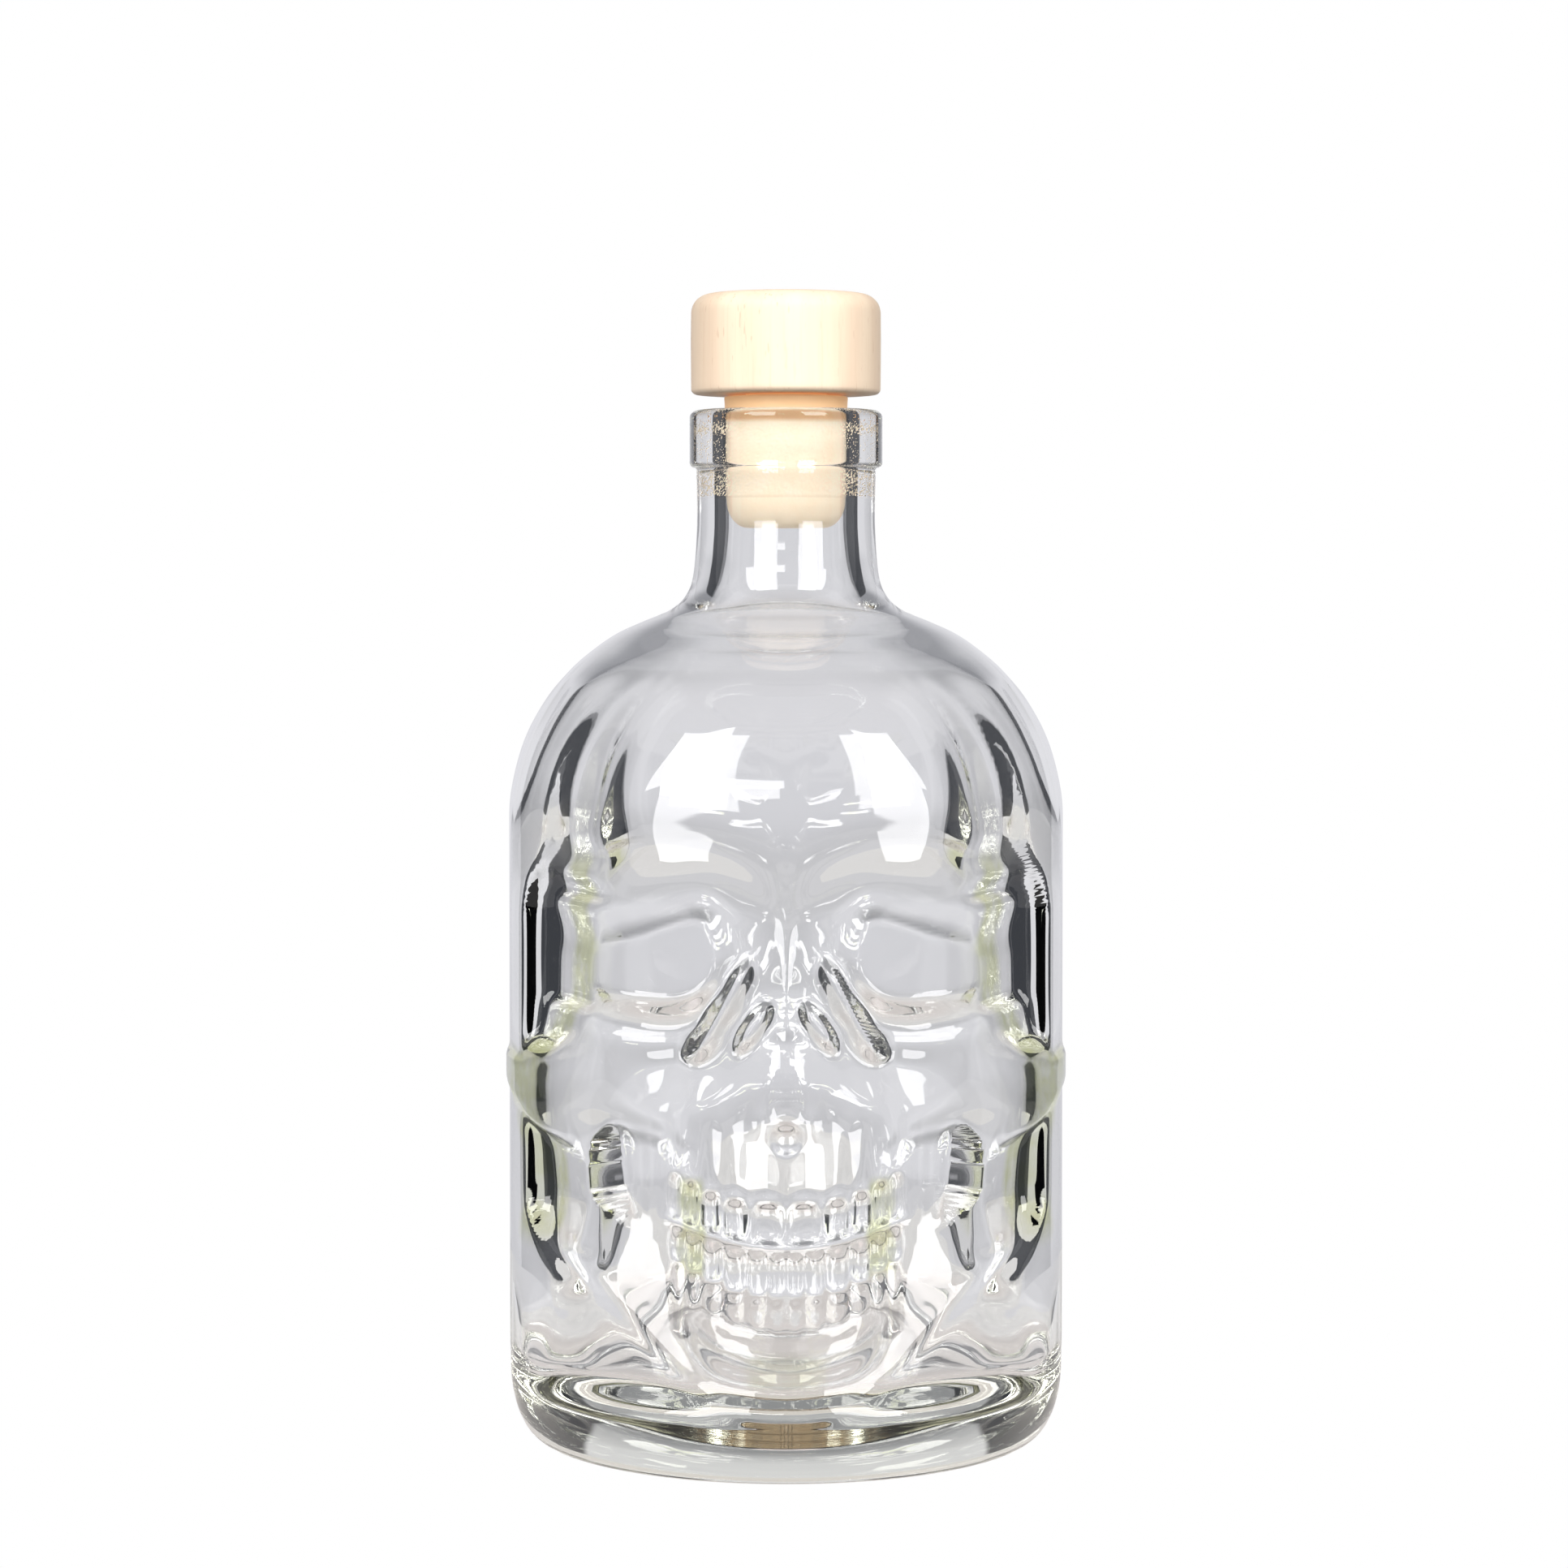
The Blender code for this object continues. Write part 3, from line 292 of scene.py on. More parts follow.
    # recesses beside the face, with the wall that drops into them
    e = np.array(EDGE)
    T = curve(e[:, 0], e[:, 1], zg)[None, :]
    at_edge = np.take_along_axis(env, np.clip((T / step).round().astype(int), 0, len(xg) - 1), axis=0)
    run = X - T
    f = np.array(RECESS_FLOOR)
    floor = curve(f[:, 0], f[:, 1], zg)[None, :]
    wall = soft_max(at_edge - RECESS_SLOPE * run, floor, 2.4)
    depth = ease(121, 97, Z) * ease(22, 36, Z)
    beside = (plain - depth * np.clip(plain - wall, 0, None) * ease(-0.6, 0.6, run)
              - 1.2 * ease(0.0, 1.6, run) * ease(9, 1.5, run) * ease(33, 28, Z) * ease(9, 18, Z))
    beside = np.where(run > -0.6, beside, plain)
    Y = soft_min(Y, beside + np.clip(-run, 0, None) * 3.0, 0.7)
    Y = soft_min(Y, plain + 0.12 + 0.6 * ease(60, 66, Z) * ease(112, 100, Z), 0.5)
    Y = blurred(Y, soft, step)
    return plain + (Y - plain) * ease(8.5, 14.5, Z) * ease(120, 112, Z)


def outer_radius(angles, heights, step, soft, detail):
    """Distance from the axis to the outer surface, at angles from the front (radians) by heights."""
    xg = np.arange(0, 44 + step / 2, step)
    zg = np.arange(2.0, 122 + step / 2, step)
    field = face_field(xg, zg, step, soft, detail)
    plain = plain_radius(heights)
    at = np.clip((heights - zg[0]) / step, 0, len(zg) - 1.001)
    k = at.astype(int)
    rows = field[:, k] * (1 - (at - k)) + field[:, k + 1] * (at - k)
    arch = np.array(ARCH, float)
    out = np.empty((len(angles), len(heights)))
    rho = np.arange(12.0, 43.6, 0.05)
    known = {}
    for i, angle in enumerate(np.abs(np.asarray(angles, float))):
        key = round(float(angle), 7)
        if key in known:
            out[i] = out[known[key]]
            continue
        known[key] = i
        r = plain.copy()
        deg = math.degrees(angle)
        if deg < 89.0:
            xi = np.clip(rho * math.sin(angle) / step, 0, len(xg) - 1.001)
            a = xi.astype(int)
            f = (xi - a)[:, None]
            over = rho[:, None] * math.cos(angle) - (rows[a] * (1 - f) + rows[a + 1] * f)
            j = np.argmax(over > 0, axis=0)
            j1 = np.maximum(j, 1)
            c = np.arange(len(heights))
            b0, b1 = over[j1 - 1, c], over[j1, c]
            hit = rho[j1 - 1] + 0.05 * np.clip(-b0 / np.where(b1 - b0 == 0, 1, b1 - b0), 0, 1)
            hit = np.where((j > 0) & (heights > 3.0) & (heights < 121.0), hit, plain)
            r = np.minimum(hit, plain + 0.6)
        if 44 < deg < 104:
            low, high = curve(arch[:, 0], arch[:, 1], deg), curve(arch[:, 0], arch[:, 2], deg)
            proud = BODY_R + ARCH_PROUD * ease(56, 78, deg) * ease(103, 92, deg) * ease(low - 0.5, low + 1.5, heights) * ease(high + 0.5, high - 1.5, heights)
            band = ease(low - 3.0, low + 0.3, heights) * ease(high + 3.6, high - 0.2, heights) * ease(44, 52, deg)
            r = r + np.maximum(proud - r, 0) * band
        out[i] = r
    return out


def inner_radius(angles, heights):
    """Radius of the cavity: the softened outer surface moved in by the wall, then smoothed as blown glass
    is. The corners beside the face stay full of glass."""
    r = outer_radius(angles, heights, CORE_STEP, CORE_SOFT, 0.0)
    deg = np.abs(np.degrees(angles))[:, None]
    wall = WALL + TEMPLE_WALL * ease(40, 66, deg) * ease(104, 84, deg) * (ease(84, 97, heights) * ease(116, 106, heights))[None, :]
    da, dz = angles[1] - angles[0], heights[1] - heights[0]
    most = WALL + TEMPLE_WALL
    na, nz = int(most / (BODY_R * da)) + 1, int(most / dz) + 1
    best = r - wall
    for i in range(-na, na + 1):
        for j in range(-nz, nz + 1):
            q, w = np.roll(r, i, axis=0), np.roll(wall, i, axis=0)
            if j >= 0:
                q, w = [np.concatenate([a[:, j:], np.repeat(a[:, -1:], j, 1)], 1) for a in (q, w)]
            else:
                q, w = [np.concatenate([np.repeat(a[:, :1], -j, 1), a[:, :j]], 1) for a in (q, w)]
            s = w ** 2 - (j * dz) ** 2 - (q * math.sin(i * da)) ** 2
            best = np.minimum(best, np.where(s > 0, q * math.cos(i * da) - np.sqrt(np.clip(s, 0, None)), 99))
    def least(A, n, axis):
        out = A.copy()
        for i in range(1, n + 1):
            for sign in (-1, 1):
                B = np.roll(A, sign * i, axis=axis)
                if axis == 1:
                    edge = slice(0, i) if sign > 0 else slice(-i, None)
                    B[:, edge] = A[:, edge]
                out = np.minimum(out, B)
        return out

    plain = best[0]          # the back of the bottle, which has no hollows
    def smoothed(reach, blur):
        core = least(least(best - plain, reach[0], 0), int(reach[1] / dz), 1)
        k0, k1 = [np.exp(-0.5 * (np.arange(-24, 25) / q) ** 2) for q in (blur[0], blur[1] / dz)]
        k0, k1 = k0 / k0.sum(), k1 / k1.sum()
        core = sum(k0[i + 24] * np.roll(core, i, axis=0) for i in range(-24, 25))
        pad = np.concatenate([np.repeat(core[:, :1], 24, 1), core, np.repeat(core[:, -1:], 24, 1)], 1)
        return plain + sum(k1[i] * pad[:, i:i + core.shape[1]] for i in range(49))

    low = smoothed(CORE_REACH, CORE_BLUR)
    # the depth behind the eyes and nose carries on down behind the jaws
    k = int(round((CORE_HOLD - heights[0]) / dz))
    share = ease(50, 32, deg) * ease(CORE_HOLD, CORE_HOLD - 5, heights)[None, :]
    low = low + (np.minimum(low, low[:, k:k + 1]) - low) * share
    # towards the floor the front stays as upright as it is below the teeth
    k = int(round((30.0 - heights[0]) / dz))
    held = np.repeat(low[:, k:k + 1], k, 1)
    front = ease(75, 50, deg)
    low[:, :k] = np.minimum(low[:, :k], held + 0.3) * front + low[:, :k] * (1 - front)
    # from the forehead up the wall is more even
    near = smoothed(BROW_REACH, BROW_BLUR)
    even = ease(80, 102, heights)[None, :]
    return soft_min(low * (1 - even) + near * even, best, 0.6)


def painted_depth_tint(angles, heights):
    """Mask of a painted tint: where a darker yellow-green is painted on the outer surface to stand in for light
    absorbed along thick glass.
    The steep walls of the face, the arches and the gaps between the back teeth are seen along their depth."""
    deg = np.abs(np.degrees(angles))
    X = BODY_R * np.sin(np.radians(np.minimum(deg, 90)))
    e = np.array(EDGE)
    T = curve(e[:, 0], e[:, 1], heights)
    arch = np.array(ARCH, float)
    low, high = curve(arch[:, 0], arch[:, 1], deg), curve(arch[:, 0], arch[:, 2], deg)
    return X * 0 + np.maximum(
        np.maximum(np.where(deg < 89, wall_band(deg, heights, T), 0),
                   ease(54, 62, deg) * ease(101, 95, deg) * ease(low - 1.8, low + 0.2, heights) * ease(high + 1.4, high - 0.6, heights)),
        np.maximum(ease(17.5, 19.5, deg) * ease(26.5, 24.5, deg) * ease(28.5, 30.5, heights) * ease(44.5, 42.5, heights),
                   0.5 * ease(9.5, 6.0, deg) * ease(13.6, 15.0, heights) * ease(19.8, 18.6, heights)))


def wall_band(deg, heights, T):
    """The wall beside the face, from its brim to a little short of the recess's floor."""
    brim = np.degrees(np.arctan2(T, np.sqrt(np.clip(40.5 ** 2 - T ** 2, 0, None)) - 3.0)) + 8.0 * ease(54, 48, heights)
    return (ease(brim - 1.5, brim + 2.5, deg) * ease(brim + 15, brim + 10, deg)
            * ease(30, 35, heights) * ease(93, 87, heights))


# ---------------------------------------------------------------- mesh building
class Shell:
    """Collects rings of points and the faces between them."""

    def __init__(self):
        self.points, self.faces, self.count = [], [], 0

    def ring(self, radii, z, angles):
        radii, z = np.broadcast_to(radii, angles.shape), np.broadcast_to(z, angles.shape)
        xyz = np.stack([radii * np.sin(angles), -radii * np.cos(angles), z], 1) * U
        start = self.count
        self.points.append(xyz)
        self.count += len(xyz)
        return np.arange(start, self.count)

    def pole(self, z):
        self.points.append(np.array([[0.0, 0.0, z * U]]))
        self.count += 1
        return self.count - 1

    def band(self, a, b):
        """Quads between two rings of the same length."""
        a1, b1 = np.roll(a, -1), np.roll(b, -1)
        self.faces += np.stack([a1, a, b, b1], 1).tolist()

    def fan(self, ring, pole, flip=False):
        r1 = np.roll(ring, -1)
        p = np.full(len(ring), pole)
        self.faces += (np.stack([ring, r1, p], 1) if flip else np.stack([r1, ring, p], 1)).tolist()

    def zip(self, a, ta, b, tb):
        """Triangles between two rings of different lengths; ta and tb are their angles, rising."""
        i = j = 0
        na, nb = len(a), len(b)
        ta, tb = np.append(ta, ta[0] + 2 * math.pi), np.append(tb, tb[0] + 2 * math.pi)
        while i < na or j < nb:
            if j >= nb or (i < na and ta[i + 1] <= tb[j + 1]):
                self.faces.append([int(a[(i + 1) % na]), int(a[i % na]), int(b[j % nb])])
                i += 1
            else:
                self.faces.append([int(a[i % na]), int(b[j % nb]), int(b[(j + 1) % nb])])
                j += 1

    def build(self, name, body, mat, smooth_angle=None):
        mesh = bpy.data.meshes.new(name)
        mesh.from_pydata(np.vstack(self.points).tolist(), [], self.faces)
        mesh.update()
        mesh.validate()
        if smooth_angle is None:
            mesh.shade_smooth()
        else:
            mesh.shade_smooth()
            mesh.set_sharp_from_angle(angle=math.radians(smooth_angle))
        mesh.materials.append(mat)
        obj = bpy.data.objects.new(name, mesh)
        bpy.context.scene.collection.objects.link(obj)
        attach(obj, body)
        return obj


def spaced(edges):
    """Values from pieces (start, end, step), each piece running up to the next one's start."""
    out = []
    for start, end, step in edges:
        n = max(1, int(round(abs(end - start) / step)))
        out += list(start + (end - start) * np.arange(n) / n)
    return np.array(out)


def arc(cx, cz, rx, rz, start, end, steps):
    return [(cx + rx * math.cos(math.radians(a)), cz + rz * math.sin(math.radians(a))) for a in np.linspace(start, end, steps)]


# ---------------------------------------------------------------- materials
def tree_of(name):
    m = bpy.data.materials.new(name)
    m.use_nodes = True
    t = m.node_tree
    for n in list(t.nodes):
        t.nodes.remove(n)
    return m, t, Graph(t)


class Graph:
    """Short ways to add nodes and join them."""

    def __init__(self, tree):
        self.tree = tree

    def node(self, kind, **values):
        n = self.tree.nodes.new(kind)
        for key, value in values.items():
            setattr(n, key, value)
        return n

    def put(self, socket, value):
        if isinstance(value, bpy.types.NodeSocket):
            self.tree.links.new(value, socket)
        else:
            socket.default_value = value

    def math(self, op, a, b=None, c=None, clamp=False):
        n = self.node("ShaderNodeMath", operation=op, use_clamp=clamp)
        for socket, value in zip(n.inputs, (a, b, c)):
            if value is not None:
                self.put(socket, value)
        return n.outputs[0]

    def ramp(self, value, low, high, to_low=0.0, to_high=1.0, kind="SMOOTHSTEP"):
        n = self.node("ShaderNodeMapRange", interpolation_type=kind, clamp=True)
        for socket, v in zip(n.inputs, (value, low, high, to_low, to_high)):
            self.put(socket, v)
        return n.outputs[0]

    def mix(self, factor, a, b, blend="MIX"):
        n = self.node("ShaderNodeMix", data_type="RGBA", blend_type=blend)
        self.put(n.inputs[0], factor)
        self.put(n.inputs[6], a)
        self.put(n.inputs[7], b)
        return n.outputs[2]

    def noise(self, vector, scale, detail=2.0, rough=0.5, distortion=0.0):
        n = self.node("ShaderNodeTexNoise")
        self.put(n.inputs["Vector"], vector)
        n.inputs["Scale"].default_value = scale
        n.inputs["Detail"].default_value = detail
        n.inputs["Roughness"].default_value = rough
        n.inputs["Distortion"].default_value = distortion
        return n.outputs[0]

    def scaled(self, vector, scale, offset=(0, 0, 0)):
        n = self.node("ShaderNodeMapping")
        self.put(n.inputs["Vector"], vector)
        n.inputs["Location"].default_value = offset
        n.inputs["Scale"].default_value = scale
        return n.outputs[0]

    def place(self):
        return self.node("ShaderNodeTexCoord").outputs["Object"]

    def bump(self, height, strength, depth):
        n = self.node("ShaderNodeBump")
        n.inputs["Strength"].default_value = strength
        n.inputs["Distance"].default_value = depth
        self.put(n.inputs["Height"], height)
        return n.outputs[0]


def glass_material():
    """Clear pressed glass: fire-polished, faintly yellow-green in depth, with the slight waves of a mould."""
    m, t, g = tree_of("clear_glass")
    out = g.node("ShaderNodeOutputMaterial")
    b = g.node("ShaderNodeBsdfPrincipled")
    place = g.place()
    wave = g.noise(g.scaled(place, (1.0, 1.0, 0.6)), 55.0, 2.0, 0.45)
    fine = g.noise(place, 420.0, 2.0, 0.5)
    # painted shade: the base colour is painted a darker yellow-green where the view runs through thick glass, standing
    # in for light absorbed there; the glass's real tint is its volume absorption
    depth = g.node("ShaderNodeAttribute", attribute_type="GEOMETRY", attribute_name="painted_depth_tint")
    cloud = g.noise(place, 240.0, 3.0, 0.55)
    painted_tint = g.math("MULTIPLY", depth.outputs["Fac"], g.ramp(cloud, 0.30, 0.62, 0.55, 1.0))
    t.links.new(g.mix(painted_tint, (1.0, 1.0, 1.0, 1.0), (0.70, 0.735, 0.38, 1.0)), b.inputs["Base Color"])
    t.links.new(g.ramp(fine, 0.35, 0.75, 0.004, 0.018), b.inputs["Roughness"])
    b.inputs["IOR"].default_value = 1.52
    b.inputs["Transmission Weight"].default_value = 1.0
    t.links.new(g.bump(g.math("ADD", wave, g.math("MULTIPLY", fine, 0.02)), 0.25, 0.00012), b.inputs["Normal"])
    a = g.node("ShaderNodeVolumeAbsorption")
    a.inputs["Color"].default_value = (0.78, 0.84, 0.30, 1.0)
    a.inputs["Density"].default_value = 1.6
    t.links.new(b.outputs[0], out.inputs["Surface"])
    t.links.new(a.outputs[0], out.inputs["Volume"])
    return m


def wood_material():
    """Unvarnished beech, grain upright: pale cream with a pink cast, hair-fine pores and short darker flecks."""
    m, t, g = tree_of("beech_fine_sanded")
    out = g.node("ShaderNodeOutputMaterial")
    b = g.node("ShaderNodeBsdfPrincipled")
    place = g.place()
    broad = g.noise(g.scaled(place, (1.0, 1.0, 0.10)), 170.0, 3.0, 0.55)
    fibre = g.noise(g.scaled(place, (1.0, 1.0, 0.035)), 1500.0, 3.0, 0.6)
    fleck = g.noise(g.scaled(place, (1.0, 1.0, 0.16), (0.013, 0.004, 0.002)), 2100.0, 1.0, 0.4)
    patch = g.noise(g.scaled(place, (1.0, 1.0, 0.5), (0.031, 0.017, 0.0)), 95.0, 2.0, 0.5)
    base = g.mix(g.ramp(broad, 0.35, 0.68), (0.87, 0.675, 0.50, 1), (0.92, 0.745, 0.56, 1))
    base = g.mix(g.math("MULTIPLY", g.ramp(fibre, 0.52, 0.75), 0.22), base, (0.72, 0.47, 0.29, 1))
    spots = g.math("MULTIPLY", g.ramp(fleck, 0.66, 0.74), g.ramp(patch, 0.40, 0.62, 0.10, 0.38))
    base = g.mix(spots, base, (0.56, 0.32, 0.17, 1))
    t.links.new(base, b.inputs["Base Color"])
    t.links.new(g.ramp(fibre, 0.3, 0.8, 0.48, 0.66), b.inputs["Roughness"])
    b.inputs["IOR"].default_value = 1.45
    height = g.math("SUBTRACT", g.math("MULTIPLY", fibre, 0.6), g.math("MULTIPLY", spots, 0.8))
    t.links.new(g.bump(height, 0.35, 0.00012), b.inputs["Normal"])
    t.links.new(b.outputs[0], out.inputs["Surface"])
    return m


def shank_material():
    """Cream thermoplastic elastomer: matte, slightly mottled, with a fine moulded skin."""
    m, t, g = tree_of("cream_elastomer")
    out = g.node("ShaderNodeOutputMaterial")
    b = g.node("ShaderNodeBsdfPrincipled")
    place = g.place()
    mottle = g.noise(place, 260.0, 3.0, 0.55)
    skin = g.noise(place, 2600.0, 2.0, 0.5)
    b_col = g.mix(g.ramp(mottle, 0.3, 0.7), (0.98, 0.82, 0.62, 1), (0.99, 0.86, 0.68, 1))
    b_col = g.mix(g.math("MULTIPLY", g.ramp(skin, 0.6, 0.75), 0.2), b_col, (0.78, 0.55, 0.34, 1))
    sep = g.node("ShaderNodeSeparateXYZ")
    t.links.new(place, sep.inputs[0])
    # painted shade and bounce light: from near the top of the lip up, the shank and its collar under the wooden head
    # are painted a darker orange
    b_col = g.mix(g.ramp(sep.outputs[2], 153.3 * U, 154.1 * U, 0.0, 0.9), b_col, (0.90, 0.58, 0.30, 1))
    # painted glow: the whole shank gives off light of its own, more orange from near the top of the lip up, standing in
    # for the light it loses behind the glass
    t.links.new(g.mix(g.ramp(sep.outputs[2], 153.3 * U, 154.1 * U), (1.0, 0.82, 0.60, 1), (0.95, 0.55, 0.28, 1)), b.inputs["Emission Color"])
    b.inputs["Emission Strength"].default_value = 0.27
    t.links.new(b_col, b.inputs["Base Color"])
    t.links.new(g.ramp(mottle, 0.3, 0.7, 0.38, 0.52), b.inputs["Roughness"])
    b.inputs["IOR"].default_value = 1.47
    t.links.new(g.bump(skin, 0.25, 0.00006), b.inputs["Normal"])
    t.links.new(b.outputs[0], out.inputs["Surface"])
    return m


def glue_material():
    """Set hot-melt glue: amber, waxy, with small bubbles."""
    m, t, g = tree_of("set_glue")
    out = g.node("ShaderNodeOutputMaterial")
    b = g.node("ShaderNodeBsdfPrincipled")
    place = g.place()
    cloud = g.noise(place, 500.0, 3.0, 0.6)
    t.links.new(g.mix(g.ramp(cloud, 0.35, 0.7), (0.70, 0.52, 0.26, 1), (0.82, 0.68, 0.42, 1)), b.inputs["Base Color"])
    t.links.new(g.ramp(cloud, 0.3, 0.7, 0.28, 0.5), b.inputs["Roughness"])
    t.links.new(g.bump(cloud, 0.4, 0.0001), b.inputs["Normal"])
    t.links.new(b.outputs[0], out.inputs["Surface"])
    return m


# ---------------------------------------------------------------- the pieces
def glass_bottle():
    angles = np.radians(np.concatenate([
        spaced([(-180, -98, 3.6), (-98, -78, 2.0), (-78, -73, 1.0), (-73, -61, 0.8), (-61, -44, 1.0), (-44, -26, 0.75), (-26, 26, 0.55),
                (26, 44, 0.75), (44, 61, 1.0), (61, 73, 0.8), (73, 78, 1.0), (78, 98, 2.0), (98, 180, 3.6)])]))
    s = Shell()
    lip = arc(LIP_R - 1.25, LIP_Z1 - 1.15, 1.25, 1.15, 90, 0, 11) + [(LIP_R, z) for z in (154.2, 153.9, 152.0, 149.6, 147.9, 147.62)]
    lip += arc(LIP_R - 0.75, LIP_Z0 + 0.75, 0.75, 0.75, -8, -90, 7)
    neck_top = [(13.85, LIP_Z0 - 0.02), (13.66, LIP_Z0 - 0.18), (13.62, LIP_Z0 - 0.6)]
    rows = spaced([(145.4, 131, 1.2), (131, 120, 0.6), (120, 92, 1.1), (92, 51, 0.62), (51, 27.5, 0.36), (27.5, 3.0, 0.75)])
    radii = outer_radius(angles, rows, FINE_STEP, FINE_SOFT, 1.0)
    loops = [s.ring(r, z, angles) for r, z in lip + neck_top]
    loops += [s.ring(radii[:, k], z, angles) for k, z in enumerate(rows)]
    for z in (2.2, 1.5, 0.95, 0.5, 0.2):
        loops.append(s.ring(float(plain_radius(z)), z, angles))
    # standing ring with its knurl: short bars that stand 0.45 below the groove between them
    knurl = 0.5 - 0.5 * np.cos(np.clip(np.mod(angles * 90 / (2 * math.pi), 1.0), 0, 1) * 2 * math.pi)
    knurl = knurl ** 0.6
    for r, depth, base in [(RING_OUT + 0.1, 0.0, 0.08), (36.0, 0.6, 0.02), (35.0, 0.95, 0.0), (33.9, 0.95, 0.0), (32.7, 0.6, 0.0), (RING_IN, 0.0, 0.25)]:
        loops.append(s.ring(r, base + 0.45 * depth * (1 - knurl), angles))
    for r in (RING_IN - 0.7, RING_IN - 1.4, 27.5, 23.5, 19.0, 15.0, 11.0, 7.0, 3.5):
        z = 0.75 if r > RING_IN - 0.9 else 0.95 + (PUNT - 0.95) * math.cos(math.pi / 2 * r / (RING_IN - 1.4))
        loops.append(s.ring(r, z, angles))
    for a, b in zip(loops[:-1], loops[1:]):
        s.band(a, b)
    s.fan(loops[-1], s.pole(PUNT))

    # the cavity, bore first
    core = np.radians(spaced([(-180, -90, 3.6), (-90, -30, 2.0), (-30, 30, 1.5), (30, 90, 2.0), (90, 180, 3.6)]))
    bore = [(LIP_R - 1.25 - 3.2, LIP_Z1), (BORE_R + 0.35, LIP_Z1 - 0.12), (BORE_R + 0.1, LIP_Z1 - 0.4), (BORE_R, LIP_Z1 - 0.9)]
    bore += [(BORE_R, z) for z in (153.0, 151.0, 149.0, 147.0, 145.0, 142.4, 140.0, 137.6)]
    inner = [s.ring(r, z, core) for r, z in bore]
    first = s.ring(LIP_R - 1.25, LIP_Z1, core)
    s.zip(first, core, loops[0], angles)
    for a, b in zip([first] + inner[:-1], inner):
        s.band(b, a)
    fine_angles = np.linspace(-math.pi, math.pi, 361)[:-1]
    fine_rows = np.arange(FLOOR_Z - 3, 124.01, 0.75)
    cavity = inner_radius(fine_angles, fine_rows)
    wrapped = np.concatenate([cavity, cavity[:1]])
    heights = spaced([(136.6, 118.0, 0.7), (118.0, 92.0, 1.2), (92.0, 18.0, 1.15), (18.0, 12.2, 0.5), (12.2, FLOOR_Z + 0.08, 0.25)])
    lows = []
    for z in heights:
        at = np.clip((z - fine_rows[0]) / 0.75, 0, len(fine_rows) - 1.001)
        k = int(at)
        column = wrapped[:, k] * (1 - (at - k)) + wrapped[:, k + 1] * (at - k)
        r = np.interp(core, np.linspace(-math.pi, math.pi, 361), column)
        if z > 104:
            neck_in = float(curve([104, 108, 112.5, 116, 119.0, 121.7, 123.6, 125.2, 127.0, 129.2, 131.5, 134.0, 137.4],
                                  [38.6, 36.0, 31.8, 27.6, 22.8, 17.2, 14.2, 12.4, 11.2, 10.4, 9.9, 9.5, BORE_R], z))
            r = np.full(len(core), neck_in) * ease(110, 121, z) + soft_min(r, neck_in, 0.8) * (1 - ease(110, 121, z))
        corner = FLOOR_CORNER
        if z < FLOOR_Z + corner:
            r = r - corner * (1 - math.sqrt(max(0.0, 1 - ((FLOOR_Z + corner - z) / corner) ** 2)))
        lows.append(s.ring(r, z, core))
    last_radii = r
    s.band(lows[0], inner[-1])
    for a, b in zip(lows[:-1], lows[1:]):
        s.band(b, a)
    for share in (0.93, 0.84, 0.72, 0.58, 0.42, 0.24):
        lows.append(s.ring(last_radii * share, FLOOR_Z + FLOOR_RISE * (1 - share) ** 2, core))
        s.band(lows[-1], lows[-2])
    s.fan(lows[-1], s.pole(FLOOR_Z + FLOOR_RISE), flip=True)
    obj = s.build("skull_bottle_glass", "bottle", glass_material())
    points = np.vstack(s.points) / U
    # mask of the painted depth tint, left at nothing on the lip, the top of the neck and the cavity
    depth = painted_depth_tint(np.arctan2(points[:, 0], -points[:, 1]), points[:, 2])
    depth[loops[-1][-1] + 1:] = 0.0
    depth[:loops[len(lip) + len(neck_top)][0]] = 0.0
    obj.data.attributes.new("painted_depth_tint", "FLOAT", "POINT").data.foreach_set("value", depth.astype(np.float32))
    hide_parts("glass_bottle")
    return obj


def turned(name, profile, body, mat, segments, wobble=0.0, smooth_angle=None):
    s = Shell()
    angles = np.linspace(-math.pi, math.pi, segments + 1)[:-1]
    rings = []
    for r, z in profile:
        if r < 1e-6:
            rings.append(s.pole(z))
        else:
            rings.append(s.ring(r + wobble * (0.6 * np.sin(3 * angles + 0.7) + 0.4 * np.sin(5 * angles + 2.0 + 0.05 * z)) * min(1.0, r / 8), z, angles))
    for a, b in zip(rings[:-1], rings[1:]):
        if isinstance(a, int):
            s.fan(b, a, flip=True)
        elif isinstance(b, int):
            s.fan(a, b)
        else:
            s.band(a, b)
    return s.build(name, body, mat, smooth_angle)


def stopper_head():
    profile = [(0.0, HEAD_Z1 - 0.02), (4.0, HEAD_Z1 - 0.02), (8.0, HEAD_Z1), (11.0, HEAD_Z1)]
    profile += arc(HEAD_R - HEAD_TOP_RADIUS, HEAD_Z1 - HEAD_TOP_RADIUS, HEAD_TOP_RADIUS, HEAD_TOP_RADIUS, 90, 0, 13)
    profile += [(HEAD_R + 0.02, 168.5), (HEAD_R + 0.04, 166.0), (HEAD_R + 0.03, 163.0), (HEAD_R + 0.01, 160.5), (HEAD_R, 159.2)]
    profile += arc(HEAD_R - 0.85, HEAD_Z0 + 0.85, 0.85, 0.85, -8, -90, 8)
    profile += [(11.0, HEAD_Z0), (8.0, HEAD_Z0), (SOCKET_R + 0.3, HEAD_Z0), (SOCKET_R, HEAD_Z0 + 0.3), (SOCKET_R, SOCKET_Z1 - 0.2), (SOCKET_R - 0.4, SOCKET_Z1), (0.0, SOCKET_Z1)]
    obj = turned("turned_wooden_head", profile, "stopper", wood_material(), 96, 0.03, 40)
    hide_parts("stopper_head")
    return obj


